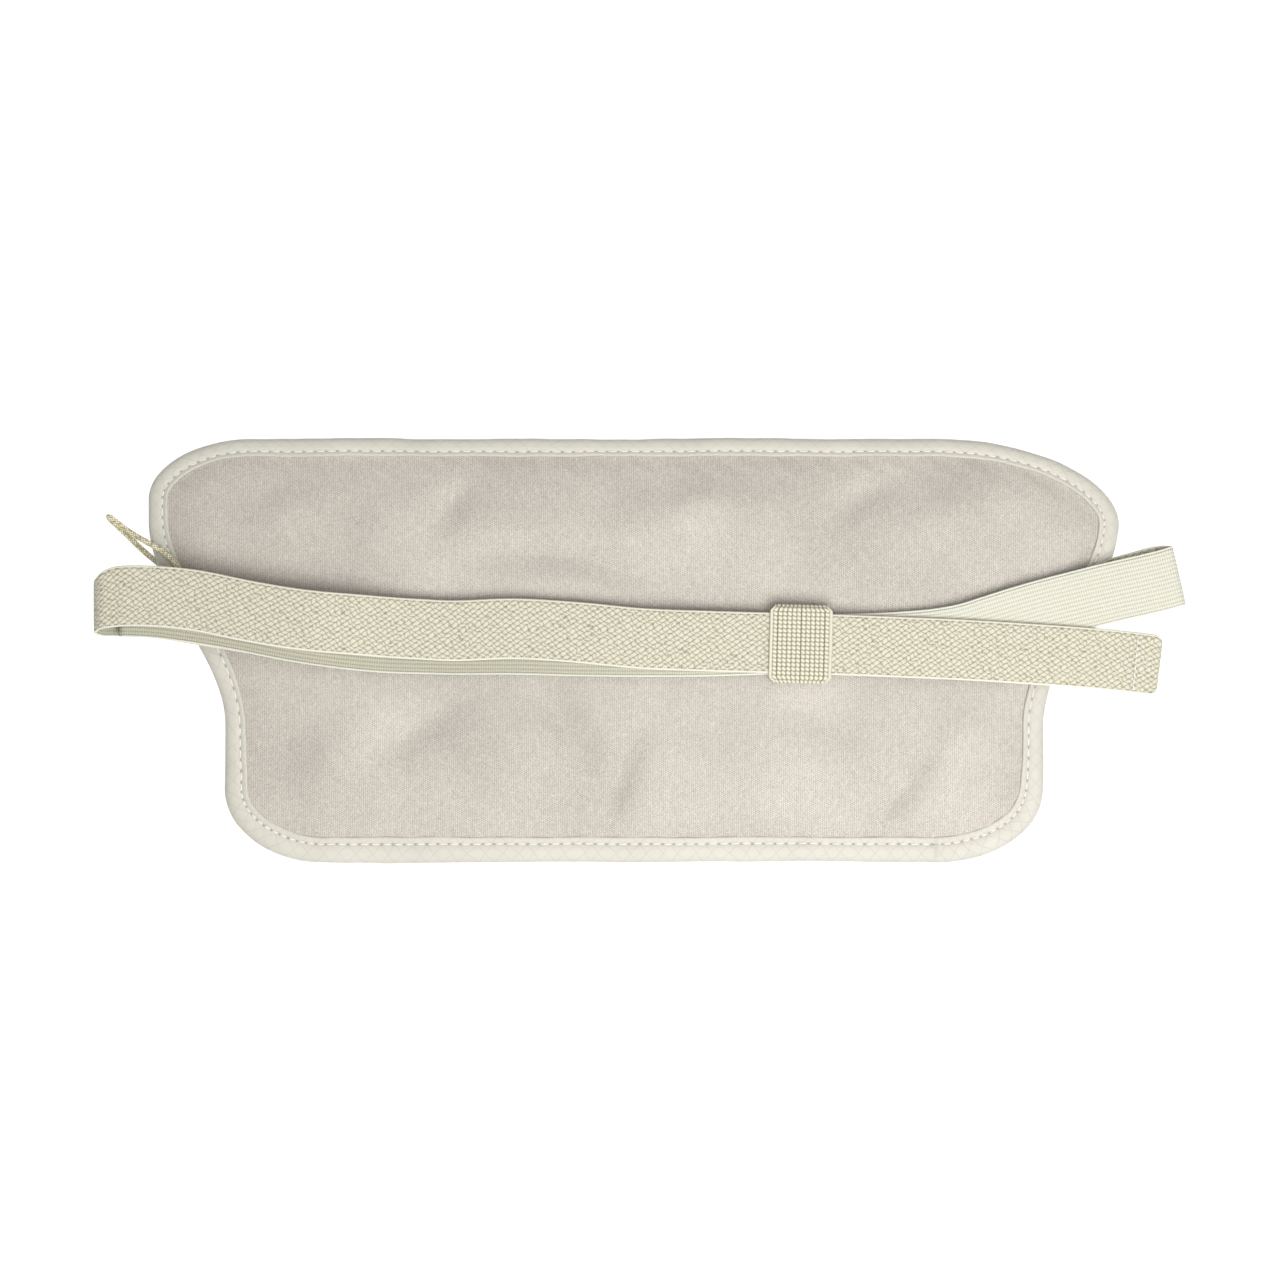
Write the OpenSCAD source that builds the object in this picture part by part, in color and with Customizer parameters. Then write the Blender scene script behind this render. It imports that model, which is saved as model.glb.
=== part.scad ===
// Money belt: a flat zipped pouch whose elastic waist strap is folded over its back.
// X runs along the pouch, Y across it towards its top edge and Z is up.
// The front panel, with the two zips, lies on Z = 0, and the back panel and the strap are on top.

/* [Pouch] */
// Length of the pouch across its upper part
pouch_top_w = 312; // [304:1:320]
// Length of the pouch across its lower part
pouch_bottom_w = 263; // [256:1:270]
// Height of the pouch from bottom edge to top edge
pouch_h = 136.4; // [134:0.2:140]
// Top of the back panel above the surface it lies on
pouch_thick = 9.3; // [9.1:0.1:9.3]
// Thickness of the front and back fabric
fabric_t = 0.8; // [0.6:0.1:0.8]

/* [Binding] */
// Width of the binding seen from above
binding_w = 6; // [5.6:0.1:6]
// Underside of the binding
binding_low_z = 2; // [1.95:0.05:2.1]
// Thickness of the binding over the edge
binding_t = 3.6; // [3.5:0.1:3.6]

/* [Strap] */
// Width of the elastic waist strap
strap_w = 19.4; // [18:0.2:19.8]
// Thickness of the elastic waist strap
strap_t = 1.2; // [0.8:0.1:1.2]
// Width of the short strap that holds the buckle's socket
short_strap_w = 16; // [12:1:17]
// Length of the folded hem at the strap's free end
hem_len = 10; // [6:1:12]

/* [Keeper] */
// Length of the keeper loop along the strap
keeper_len = 20; // [15:1:22]
// Width of the keeper loop across the strap
keeper_w = 25; // [25:0.2:26]
// Thickness of the keeper's elastic
keeper_t = 0.8; // [0.6:0.1:0.8]

/* [Zips] */
// Width of the closed coil
coil_w = 4; // [3.6:0.1:4]
// Width of the two tapes together
tape_w = 16; // [15:1:18]
// Distance of the upper zip above the pouch's centre
main_zip_y = 40; // [39.5:0.5:41]
// Distance of the lower zip above the pouch's centre
pocket_zip_y = 16; // [15:0.5:17]

/* [Buckle] */
// Width of the closed buckle
buckle_w = 23; // [22.8:0.1:23.4]
// Length of the closed buckle
buckle_len = 45; // [44.8:0.1:45.4]
// Thickness of the buckle
buckle_t = 5.6; // [5.5:0.1:5.6]

/* [Hidden] */
$fn = 32;

// The pouch lies a little left of the origin, which is the middle of the whole object.
pouch_x = -2.2;
top_half_w = pouch_top_w / 2;
bottom_half_w = pouch_bottom_w / 2;
half_h = pouch_h / 2;
taper_high_y = 42;
taper_low_y = -24;
// Corners are quarter ellipses: [half axis along X, half axis along Y]
top_right_r = [60, 29];
top_left_r = [34, 20];
bottom_left_r = [32, 24];
bottom_right_r = [34, 24];
corner_steps = 8;
taper_steps = 8;

// Heights of the layers inside the pouch
plate_inset = 13;
divider_z = 3.6;
divider_t = 0.4;
divider_top_y = 30;
rim_inset = 3.4;
groove_low_z = 2.9;
groove_high_z = 4.7;
// The skirt joins each panel's flat part to its rim, which the binding's groove holds.
skirt_inset = plate_inset + 1;
skirt_mid_inset = 10.5;
skirt_rim_inset = 6.6;
seam_gap = 0.05;

// Zips: the tapes are set back from the front panel's face, so that the sliders stay behind it.
tape_z = 2.2;
tape_t = 0.4;
coil_t = 1;
slot_w = 9;
main_zip_left = -140;
main_zip_right = 128;
pocket_zip_left = -132;
pocket_zip_right = 126;
stop_len = 2.5;
slider_len = 9;
slider_w = 7.4;
main_slider_x = -132.5;
pocket_slider_x = -124;
slider_gap = 0.2;
slider_plate_t = 0.5;
pull_pin_r = 0.25;
post_w = 0.6;
pull_axis_z = 0.5;
pull_len = 17;
pull_tab_half_t = 0.25;
lug_y = 1.6;
lug_w = 1;
lug_low_z = 0.1;
lug_high_z = 1.1;
cord_bar_len = 1.1;
cord_bar_half_w = 2.2;

// Strap routes: [x, y, z, yaw], where yaw turns the strap's width about Z.
root_route = [
    [146, 17.5, 6.3, 15], [153, 20.2, 6.3, 15], [160, 22.2, 6.3, 15], [166, 23.8, 6.3, 14], [169.8, 24.2, 6.5, 13],
    [171.6, 24.1, 7.1, 13], [171.9, 24, 7.8, 13], [171.2, 23.7, 8.5, 13], [169, 23, 8.9, 14]
];
lower_route = [
    [169, 23, 8.9, 14], [161, 21, 9.1, 14], [153, 19.2, 9.4, 15], [142, 16.5, 10, 15], [125, 12, 10.9, 16],
    [112, 8, 11.2, 15], [104, 5.5, 11.2, 12], [96, 4, 11.2, 7], [83, 2.8, 11.2, 1], [62, 2, 11.2, -1],
    [41, 2, 11.2, -2], [20, 1.4, 11.2, 1], [0, 1.3, 11.2, 1], [-20, 1.5, 11.2, -1], [-40, 2, 11.2, -1],
    [-62, 2, 11.2, -1], [-70, 2.2, 11.4, -2], [-80, 2.5, 12.4, -4], [-92, 3.5, 14.8, -7], [-102, 4.8, 16.8, -9],
    [-112, 6.4, 17.2, -10], [-125, 9, 17.2, -9], [-145, 12.4, 17.2, -8], [-157, 13.8, 17.2, -5]
];
upper_route = [
    [-157, 17.4, 18.6, -3], [-144, 16.3, 18.6, -7], [-125, 12.6, 18.6, -9], [-112, 10.4, 18.6, -8],
    [-102, 9.2, 18.1, -6], [-92, 8.4, 16.3, -5], [-80, 7.4, 13.9, -4], [-70, 6.8, 12.8, -3], [-62, 6.4, 12.6, 0],
    [-40, 7, 12.6, 0], [-20, 5.8, 12.6, -4], [0, 3.9, 12.6, -4], [20, 3.1, 12.6, -2], [41, 2.5, 12.6, -2],
    [62, 1.9, 12.6, -2], [83, 1.1, 12.6, -3], [104, 0.2, 12.6, -3], [125, -1.1, 12.3, -4],
    [141, -2.2, 11.4, -4], [156, -3.6, 10, -6]
];
hem_route = [[156, -3.6, 10, -6], [161, -4.2, 9.4, -7], [165.5, -4.8, 8.7, -7]];
// Inner turn into the plug's bar, round the bar, and out again to the outer turn.
turns_route = [
    [-157, 13.8, 17.2, -5], [-162, 14, 17.1, -4], [-165, 14.1, 16.7, -3], [-165.5, 14.1, 16.1, -3],
    [-164.5, 14.1, 15.6, -4], [-160, 13.9, 15.4, -6], [-152, 14.4, 15.4, -9], [-147, 14.2, 15.4, -9.5],
    [-145.4, 13.9, 15, -9.5], [-144.8, 13.8, 13.6, -9.5], [-145.4, 13.9, 12.2, -9.5], [-147, 14.2, 11.8, -9.5],
    [-152, 14.6, 11.8, -9], [-160, 14.3, 11.8, -6], [-167.4, 14.2, 12, -3], [-172.1, 14.4, 13, -1],
    [-174.1, 15.2, 15.2, 0], [-172.5, 16.4, 17.4, 0], [-167.4, 17.2, 18.4, -1], [-157, 17.4, 18.6, -3]
];
// The socket end of the buckle is held by a strap that is sewn on the left edge and looped round a bar.
short_route = [
    [-147.6, 11.4, 6.3, -9.5], [-146.2, 11.4, 6.3, -9.5], [-145, 11.4, 7.2, -9.5], [-143.6, 11.4, 8.7, -9.5],
    [-142.2, 11.4, 9.85, -9.5], [-140.4, 11.4, 10, -9.5], [-134, 11, 10, -9.5], [-120, 9.5, 10, -9.5],
    [-106, 7.1, 10, -9.5], [-104.4, 6.8, 10.4, -9.5], [-103.6, 6.6, 11.8, -9.5], [-103.6, 6.6, 13.8, -9.5],
    [-104.1, 6.8, 14.9, -9.5], [-105.2, 6.9, 15.4, -9.5], [-107.2, 7.3, 15.4, -9.5], [-108.5, 7.5, 15, -9.5],
    [-109, 7.6, 13.9, -9.5], [-109, 7.6, 11.5, -9.5]
];

// Pull cord: a loop from the lower slider, round the pouch's left edge and out over its binding.
cord_d = 1.8;
cord_sides = 8;
cord_route = [
    [-129.6, 14.9, 0.95], [-133, 14.9, 0.95], [-138, 14.8, 0.95], [-143, 14.7, 0.95], [-147, 14.5, 0.95],
    [-150, 14.4, 0.98], [-151.6, 14.4, 2.3], [-152.1, 14.6, 4.1], [-151.4, 15, 6.1], [-149.4, 16.4, 7.1],
    [-147.9, 18.5, 7], [-147.3, 21, 7], [-147.3, 23.8, 7], [-148, 26.4, 7], [-149.8, 28.7, 6.9],
    [-152.6, 31.4, 6.8], [-155.4, 33.2, 6.8], [-158, 34.6, 6.5], [-160.8, 36.1, 5.2], [-163.8, 37.9, 3.6],
    [-166.8, 40, 2.8], [-169.2, 41.9, 2.6], [-170.8, 43, 2.1], [-170.5, 42.3, 1.3], [-169, 40.8, 0.95],
    [-166, 38, 0.95], [-162, 34.1, 0.95], [-158.3, 30.7, 0.95], [-154.6, 27.6, 0.95], [-151.2, 23.6, 0.95],
    [-147.5, 20.2, 0.95], [-143, 18.6, 0.95], [-138, 17.6, 0.95], [-133, 17.1, 0.95], [-129.6, 17, 0.95]
];
// Direction that every stretch of the cord runs across, used to lay out its rings
cord_across = [0.89, 0.45, 0.05];

// Keeper: its middle lies on the strap and it slides along this line.
keeper_x = 51;
keeper_y = 2.1;
keeper_yaw = -1.5;
keeper_low_z = 9.6;
keeper_high_z = 14.2;

// Buckle: its own frame starts at its left end, on its centre line, and is turned along the strap.
buckle_at = [-149.4, 14.8, 10.8];
buckle_yaw = -9.5;
bar_t = 2;
bar_len = 2.6;
plug_slot_end = 6;
plug_body_end = 18;
socket_start = 18.3;
socket_slot_start = 39.4;
socket_slot_end = 42.4;
wall = 1.4;
cavity_t = 3.4;
window_start = 24;
window_end = 34.6;
tongue_end = 36;
tongue_half_w = 2.2;
slot_margin = wall + 1;
prong_u = 19.2;
prong_v = 6.2;
prong_half_t = 1;
prong_t = 2.8;
prong_tip_u = 33.4;
button_start = window_start + 0.6;
button_end = 32.5;
button_out_v = buckle_w / 2 - 0.3;
chamfer = 3;

function smooth_step(t) = let (u = min(max(t, 0), 1)) u * u * (3 - 2 * u);

function side_half_w(y) =
    bottom_half_w + (top_half_w - bottom_half_w) * smooth_step((y - taper_low_y) / (taper_high_y - taper_low_y));

// A quarter ellipse from angle a, centred on [cx, cy], with half axes r less inset
function arc(cx, cy, r, inset, a) = [
    for (i = [0 : corner_steps])
        let (t = a + 90 * i / corner_steps) [cx + (r[0] - inset) * cos(t), cy + (r[1] - inset) * sin(t)]
];

function taper_y(i) = taper_high_y + (taper_low_y - taper_high_y) * i / taper_steps;

// The pouch's outline, counter-clockwise, drawn in from its edge by inset
function outline(inset) = concat(
    arc(pouch_x + top_half_w - top_right_r[0], half_h - top_right_r[1], top_right_r, inset, 0),
    arc(pouch_x - top_half_w + top_left_r[0], half_h - top_left_r[1], top_left_r, inset, 90),
    [for (i = [1 : taper_steps]) [pouch_x - side_half_w(taper_y(i)) + inset, taper_y(i)]],
    arc(pouch_x - bottom_half_w + bottom_left_r[0], bottom_left_r[1] - half_h, bottom_left_r, inset, 180),
    arc(pouch_x + bottom_half_w - bottom_right_r[0], bottom_right_r[1] - half_h, bottom_right_r, inset, 270),
    [for (i = [taper_steps : -1 : 1]) [pouch_x + side_half_w(taper_y(i)) - inset, taper_y(i)]]
);

function unit(v) = v / norm(v);

function ahead(route, i) = unit(route[min(i + 1, len(route) - 1)] - route[max(i - 1, 0)]);

function place(stop) = [stop[0], stop[1], stop[2]];

// A closed solid from rings of points, with flat ends; the rings run the same way round.
module loft(rings) {
    n = len(rings[0]);
    last = len(rings) - 1;
    walls = [
        for (i = [0 : last - 1], j = [0 : n - 1])
            [i * n + j, (i + 1) * n + j, (i + 1) * n + (j + 1) % n, i * n + (j + 1) % n]
    ];
    start_cap = [[for (j = [0 : n - 1]) j]];
    end_cap = [[for (j = [n - 1 : -1 : 0]) last * n + j]];
    polyhedron(points = [for (ring = rings) each ring], faces = concat(walls, start_cap, end_cap), convexity = 8);
}

// A flat strap that follows a route of [x, y, z, yaw]
module ribbon(route, w, t) {
    points = [for (stop = route) place(stop)];
    loft([
        for (i = [0 : len(route) - 1])
            let (
                across = [-sin(route[i][3]), cos(route[i][3]), 0],
                up = unit(cross(ahead(points, i), across)),
                half_w = across * w / 2,
                half_t = up * t / 2
            )
            [
                points[i] - half_w - half_t, points[i] + half_w - half_t,
                points[i] + half_w + half_t, points[i] - half_w + half_t
            ]
    ]);
}

// A round tube that follows a route
module tube(route, d, sides) {
    loft([
        for (i = [0 : len(route) - 1])
            let (
                forward = ahead(route, i),
                side = unit(cross(forward, cross(cord_across, forward))),
                up = cross(forward, side)
            )
            [for (j = [0 : sides - 1]) let (a = 360 * j / sides) route[i] + d / 2 * (side * sin(a) + up * cos(a))]
    ]);
}

// A closed band that follows the outline; its section is a list of [inset, z].
module outline_band(section) {
    n = len(section);
    m = len(outline(0));
    points = [
        for (i = [0 : m - 1], j = [0 : n - 1])
            [outline(section[j][0])[i][0], outline(section[j][0])[i][1], section[j][1]]
    ];
    faces = [
        for (i = [0 : m - 1], j = [0 : n - 1])
            [i * n + j, i * n + (j + 1) % n, ((i + 1) % m) * n + (j + 1) % n, ((i + 1) % m) * n + j]
    ];
    polyhedron(points = points, faces = faces, convexity = 8);
}

module outline_plate(inset, z, t) {
    translate([0, 0, z]) linear_extrude(t) polygon(outline(inset));
}

// A box given by its lowest corner and its highest corner
module span(low, high) {
    translate(low) cube(high - low);
}

// ---- Pouch ----

module zip_slot(left, right, y, high_z) {
    span([left, y - slot_w / 2, -1], [right, y + slot_w / 2, high_z]);
}

// Folded edges of the fabric along a zip's slot, which its tapes are sewn to
module zip_hem(left, right, y) {
    hem_w = 2.5;
    difference() {
        span([left - hem_w, y - slot_w / 2 - hem_w, fabric_t / 2],
             [right + hem_w, y + slot_w / 2 + hem_w, tape_z - tape_t / 2]);
        zip_slot(left, right, y, tape_z);
    }
}

module front_panel() {
    low = groove_low_z + seam_gap;
    high = divider_z - seam_gap;
    color("tan") {
        difference() {
            union() {
                outline_plate(plate_inset, 0, fabric_t);
                outline_band([
                    [skirt_inset, 0.15], [skirt_mid_inset, 0.6], [skirt_rim_inset, low], [rim_inset, low],
                    [rim_inset, high], [skirt_rim_inset, high], [skirt_mid_inset, 1.3], [skirt_inset, 0.65]
                ]);
            }
            zip_slot(main_zip_left, main_zip_right, main_zip_y, 1);
            zip_slot(pocket_zip_left, pocket_zip_right, pocket_zip_y, 1);
            cord_notch();
        }
        zip_hem(main_zip_left, main_zip_right, main_zip_y);
        difference() {
            zip_hem(pocket_zip_left, pocket_zip_right, pocket_zip_y);
            cord_notch();
        }
    }
}

// Way out for the pull cord at the left end of the lower zip
module cord_notch() {
    span([-144, 13.4, -1], [-131, 22, 2]);
}

module back_panel() {
    plate_z = pouch_thick - fabric_t;
    low = divider_z + divider_t + seam_gap;
    high = groove_high_z - seam_gap;
    color("tan") {
        outline_plate(plate_inset, plate_z, fabric_t);
        outline_band([
            [skirt_inset, plate_z + 0.15], [skirt_mid_inset, plate_z - 0.6], [skirt_rim_inset, low],
            [rim_inset, low], [rim_inset, high], [skirt_rim_inset, high],
            [skirt_mid_inset, plate_z + 0.1], [skirt_inset, plate_z + 0.65]
        ]);
    }
}

// Lining between the two compartments; its top edge is sewn to the front panel between the zips.
module inner_divider() {
    far = pouch_top_w;
    seam_half_w = 128;
    seam_w = 0.6;
    color("gainsboro") {
        difference() {
            outline_plate(rim_inset, divider_z, divider_t);
            span([-far, divider_top_y, 0], [far, far, pouch_thick]);
        }
        span([pouch_x - seam_half_w, divider_top_y - seam_w, fabric_t],
             [pouch_x + seam_half_w, divider_top_y, divider_z + divider_t]);
    }
}

module edge_binding() {
    color("wheat") {
        difference() {
            outline_plate(0, binding_low_z, binding_t);
            outline_plate(binding_w, binding_low_z - 1, binding_t + 2);
            outline_plate(rim_inset - seam_gap, groove_low_z, groove_high_z - groove_low_z);
        }
    }
}

// ---- Zips ----

module zip_tapes(left, right, y) {
    overlap = 2;
    color("silver") {
        for (side = [-1, 1]) {
            low_y = side < 0 ? y - tape_w / 2 : y + coil_w / 4;
            high_y = side < 0 ? y - coil_w / 4 : y + tape_w / 2;
            span([left - overlap, low_y, tape_z - tape_t / 2], [right + overlap, high_y, tape_z + tape_t / 2]);
        }
    }
}

// The two halves of the coil, with the narrow line between them that the slider's post runs in
module zip_coil(left, right, y) {
    slit = post_w / 2 + slider_gap;
    color("silver") difference() {
        span([left + stop_len, y - coil_w / 2, tape_z - coil_t / 2],
             [right - stop_len, y + coil_w / 2, tape_z + coil_t / 2]);
        span([left, y - slit, 0], [right, y + slit, pouch_thick]);
        zip_tapes(left, right, y);
    }
}

module zip_stops(left, right, y) {
    half_w = 2.5;
    color("dimgray") difference() {
        for (x = [left, right - stop_len]) {
            span([x, y - half_w, tape_z - 0.3], [x + stop_len, y + half_w, tape_z + 0.9]);
        }
        zip_tapes(left, right, y);
    }
}

// Slider: two plates with turned-in sides that wrap the coil, joined by a post clear of it
module zip_slider(x, y) {
    outer_z = tape_z - coil_t / 2 - slider_gap - slider_plate_t;
    inner_z = tape_z + coil_t / 2 + slider_gap;
    flange_w = 1;
    flange_gap = tape_t / 2 + slider_gap;
    for (z = [outer_z, inner_z]) {
        span([x - slider_len / 2, y - slider_w / 2, z], [x + slider_len / 2, y + slider_w / 2, z + slider_plate_t]);
    }
    for (side = [-1, 1]) {
        edge_y = y + side * (slider_w - flange_w) / 2;
        span([x - slider_len / 2, edge_y - flange_w / 2, outer_z],
             [x + slider_len / 2, edge_y + flange_w / 2, tape_z - flange_gap]);
        span([x - slider_len / 2, edge_y - flange_w / 2, tape_z + flange_gap],
             [x + slider_len / 2, edge_y + flange_w / 2, inner_z + slider_plate_t]);
    }
    // The post runs in the line between the two halves of the coil.
    span([x - slider_len / 2, y - post_w / 2, outer_z],
         [x - slider_len / 2 + 1, y + post_w / 2, inner_z + slider_plate_t]);
}

module main_zip_tapes() zip_tapes(main_zip_left, main_zip_right, main_zip_y);

module main_zip_coil() zip_coil(main_zip_left, main_zip_right, main_zip_y);

module main_zip_stops() zip_stops(main_zip_left, main_zip_right, main_zip_y);

module pocket_zip_tapes() zip_tapes(pocket_zip_left, pocket_zip_right, pocket_zip_y);

module pocket_zip_coil() zip_coil(pocket_zip_left, pocket_zip_right, pocket_zip_y);

module pocket_zip_stops() zip_stops(pocket_zip_left, pocket_zip_right, pocket_zip_y);

module main_slider() {
    lug_len = 2;
    x = main_slider_x + slider_len / 2 - lug_len;
    color("dimgray") {
        zip_slider(main_slider_x, main_zip_y);
        difference() {
            for (side = [-1, 1]) {
                y = main_zip_y + side * lug_y;
                span([x, y - lug_w / 2, lug_low_z], [x + lug_len, y + lug_w / 2, lug_high_z]);
            }
            translate([main_pull_x(), main_zip_y, pull_axis_z]) rotate([90, 0, 0])
                cylinder(r = pull_pin_r, h = 6, center = true);
        }
    }
}

function main_pull_x() = main_slider_x + slider_len / 2 - 1;

module main_pull_pin() {
    color("gray") translate([main_pull_x(), main_zip_y, pull_axis_z]) rotate([90, 0, 0])
        cylinder(r = pull_pin_r, h = 4.2, center = true);
}

module main_pull_tab() {
    eye_r = 0.4;
    bore_r = pull_pin_r + 0.05;
    tab_w = 5;
    neck_w = 1.8;
    neck_len = 3;
    hole_r = 1.2;
    t = pull_tab_half_t;
    color("dimgray") translate([main_pull_x(), main_zip_y, pull_axis_z]) {
        difference() {
            union() {
                rotate([90, 0, 0]) cylinder(r = eye_r, h = neck_w, center = true);
                span([0, -neck_w / 2, -t], [neck_len, neck_w / 2, t]);
                difference() {
                    span([neck_len - 0.5, -tab_w / 2, -t], [pull_len, tab_w / 2, t]);
                    translate([pull_len - 2 * hole_r, 0, 0]) cylinder(r = hole_r, h = 2, center = true);
                }
            }
            rotate([90, 0, 0]) cylinder(r = bore_r, h = 2 * neck_w, center = true);
        }
    }
}

module pocket_slider() {
    left = pocket_slider_x - slider_len / 2;
    right = pocket_slider_x + slider_len / 2;
    bridge_half_w = 1;
    foot_len = 1.2;
    color("dimgray") {
        zip_slider(pocket_slider_x, pocket_zip_y);
        span([left, pocket_zip_y - bridge_half_w, lug_low_z], [right, pocket_zip_y + bridge_half_w, 0.5]);
        for (x = [left, right - foot_len]) {
            span([x, pocket_zip_y - bridge_half_w, lug_low_z],
                 [x + foot_len, pocket_zip_y + bridge_half_w, lug_high_z]);
        }
        // cross bar that the two ends of the cord are looped over
        span([left - cord_bar_len, pocket_zip_y - cord_bar_half_w, 0.3],
             [left, pocket_zip_y + cord_bar_half_w, 1.4]);
    }
}

module pull_cord() {
    color("olive") tube(cord_route, cord_d, cord_sides);
}

// ---- Strap ----

module strap_root_fold() {
    color("ivory") ribbon(root_route, strap_w, strap_t);
}

module strap_lower_run() {
    color("ivory") ribbon(lower_route, strap_w, strap_t);
}

module strap_left_turns() {
    color("ivory") ribbon(turns_route, strap_w, strap_t);
}

module strap_upper_run() {
    color("cornsilk") ribbon(upper_route, strap_w, strap_t);
}

module strap_hem() {
    color("cornsilk") ribbon(hem_route, strap_w, 2 * strap_t);
}

module short_strap() {
    color("ivory") ribbon(short_route, short_strap_w, strap_t);
}

// Dense rows of thread that sew each strap down on the binding
module strap_bar_tacks() {
    tack_t = 0.3;
    root = root_route[0];
    short = short_route[0];
    color("white") {
        translate([root[0] + 3.5, root[1] + 1.3, root[2] + strap_t / 2]) rotate([0, 0, root[3]])
            span([-1, -7, 0], [1, 7, tack_t]);
        translate([short[0] + 0.6, short[1], short[2] + strap_t / 2]) rotate([0, 0, short[3]])
            span([-0.5, -6, 0], [0.5, 6, tack_t]);
    }
}

module keeper_loop() {
    color("cornsilk") translate([keeper_x, keeper_y, 0]) rotate([0, 0, keeper_yaw]) difference() {
        span([-keeper_len / 2, -keeper_w / 2, keeper_low_z], [keeper_len / 2, keeper_w / 2, keeper_high_z]);
        span([-keeper_len, -keeper_w / 2 + keeper_t, keeper_low_z + keeper_t],
             [keeper_len, keeper_w / 2 - keeper_t, keeper_high_z - keeper_t]);
    }
}

// ---- Buckle ----

module in_buckle_frame() {
    translate(buckle_at) rotate([0, 0, buckle_yaw]) children();
}

// A bar across the buckle at half its thickness, for a strap to turn round
module buckle_bar(from_u, to_u) {
    span([from_u, -buckle_w / 2, (buckle_t - bar_t) / 2], [to_u, buckle_w / 2, (buckle_t + bar_t) / 2]);
}

module buckle_plug() {
    half_w = buckle_w / 2;
    color("wheat") in_buckle_frame() {
        buckle_bar(0, bar_len);
        for (side = [-1, 1]) {
            mirror([0, side < 0 ? 1 : 0, 0]) linear_extrude(buckle_t)
                polygon([[chamfer, half_w], [0, half_w - wall], [plug_slot_end, half_w - wall],
                         [plug_slot_end, half_w]]);
        }
        span([plug_slot_end, -half_w, 0], [plug_body_end, half_w, buckle_t]);
        span([plug_body_end, -tongue_half_w, (buckle_t - bar_t) / 2],
             [tongue_end, tongue_half_w, (buckle_t + bar_t) / 2]);
    }
}

module buckle_socket() {
    half_w = buckle_w / 2;
    color("wheat") in_buckle_frame() difference() {
        linear_extrude(buckle_t) polygon([
            [socket_start, -half_w], [buckle_len - chamfer, -half_w], [buckle_len, chamfer - half_w],
            [buckle_len, half_w - chamfer], [buckle_len - chamfer, half_w], [socket_start, half_w]
        ]);
        span([socket_start - 1, wall - half_w, (buckle_t - cavity_t) / 2],
             [socket_slot_start - wall, half_w - wall, (buckle_t + cavity_t) / 2]);
        span([window_start, -half_w - 1, (buckle_t - cavity_t) / 2],
             [window_end, half_w + 1, (buckle_t + cavity_t) / 2]);
        span([socket_slot_start, slot_margin - half_w, -1], [socket_slot_end, half_w - slot_margin, buckle_t + 1]);
        for (z = [-1, (buckle_t + bar_t) / 2]) {
            span([socket_slot_start, slot_margin - half_w, z],
                 [buckle_len + 1, half_w - slot_margin, z + 1 + (buckle_t - bar_t) / 2]);
        }
    }
}

// A springy arm of the plug, with the button that snaps into the socket's side window
module prong(side) {
    mirror([0, side < 0 ? 1 : 0, 0]) translate([0, 0, (buckle_t - prong_t) / 2]) {
        translate([prong_u, prong_v, 0]) cylinder(r = prong_half_t, h = prong_t);
        linear_extrude(prong_t) polygon([
            [prong_u, prong_v - prong_half_t], [prong_tip_u, prong_v], [prong_tip_u + 0.4, prong_v + 2],
            [button_end, button_out_v], [button_start, button_out_v], [button_start, prong_v + 2.4],
            [prong_u, prong_v + prong_half_t]
        ]);
    }
}

module prong_upper() {
    color("wheat") in_buckle_frame() prong(1);
}

module prong_lower() {
    color("wheat") in_buckle_frame() prong(-1);
}

front_panel();
back_panel();
inner_divider();
edge_binding();
main_zip_tapes();
main_zip_coil();
main_zip_stops();
main_slider();
main_pull_pin();
main_pull_tab();
pocket_zip_tapes();
pocket_zip_coil();
pocket_zip_stops();
pocket_slider();
pull_cord();
strap_root_fold();
strap_lower_run();
strap_left_turns();
strap_upper_run();
strap_hem();
keeper_loop();
short_strap();
strap_bar_tacks();
buckle_socket();
buckle_plug();
prong_upper();
prong_lower();
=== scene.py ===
"""Looks of a money belt: a flat zipped pouch seen from its knitted back, its elastic strap folded over it.

Sizes and places of the pieces are millimetres, as in the part's own frame. MM turns them into metres where
a mesh or a shader takes them. The lights and the camera are in metres.
"""

import math

import bmesh
import bpy
import numpy as np
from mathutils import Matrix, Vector, noise
from mathutils.kdtree import KDTree


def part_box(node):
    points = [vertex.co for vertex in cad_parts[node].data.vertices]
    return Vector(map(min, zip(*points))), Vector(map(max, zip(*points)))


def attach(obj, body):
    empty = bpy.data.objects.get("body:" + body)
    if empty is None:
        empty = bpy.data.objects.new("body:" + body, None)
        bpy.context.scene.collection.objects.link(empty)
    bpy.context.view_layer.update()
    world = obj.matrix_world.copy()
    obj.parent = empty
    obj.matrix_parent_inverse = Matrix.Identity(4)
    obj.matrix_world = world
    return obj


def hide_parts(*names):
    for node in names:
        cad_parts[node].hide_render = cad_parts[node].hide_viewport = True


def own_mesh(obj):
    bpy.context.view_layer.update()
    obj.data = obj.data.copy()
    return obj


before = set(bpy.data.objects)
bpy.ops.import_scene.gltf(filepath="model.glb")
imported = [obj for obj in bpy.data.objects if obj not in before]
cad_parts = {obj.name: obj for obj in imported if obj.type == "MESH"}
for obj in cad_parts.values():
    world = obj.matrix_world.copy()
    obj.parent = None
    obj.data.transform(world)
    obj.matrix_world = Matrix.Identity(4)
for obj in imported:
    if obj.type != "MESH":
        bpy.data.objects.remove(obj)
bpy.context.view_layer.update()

MM = 0.001


def box_mm(node):
    """The lowest and highest corner of a CAD node, in millimetres."""
    low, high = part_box(node)
    return np.array(low) / MM, np.array(high) / MM


# ---- Sizes of the pouch, from the frame's own pieces ----

rim_low, rim_high = box_mm("edge_binding")
POUCH_X = (rim_low[0] + rim_high[0]) / 2
HALF_W = (rim_high[0] - rim_low[0]) / 2
HALF_H = (rim_high[1] - rim_low[1]) / 2
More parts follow.
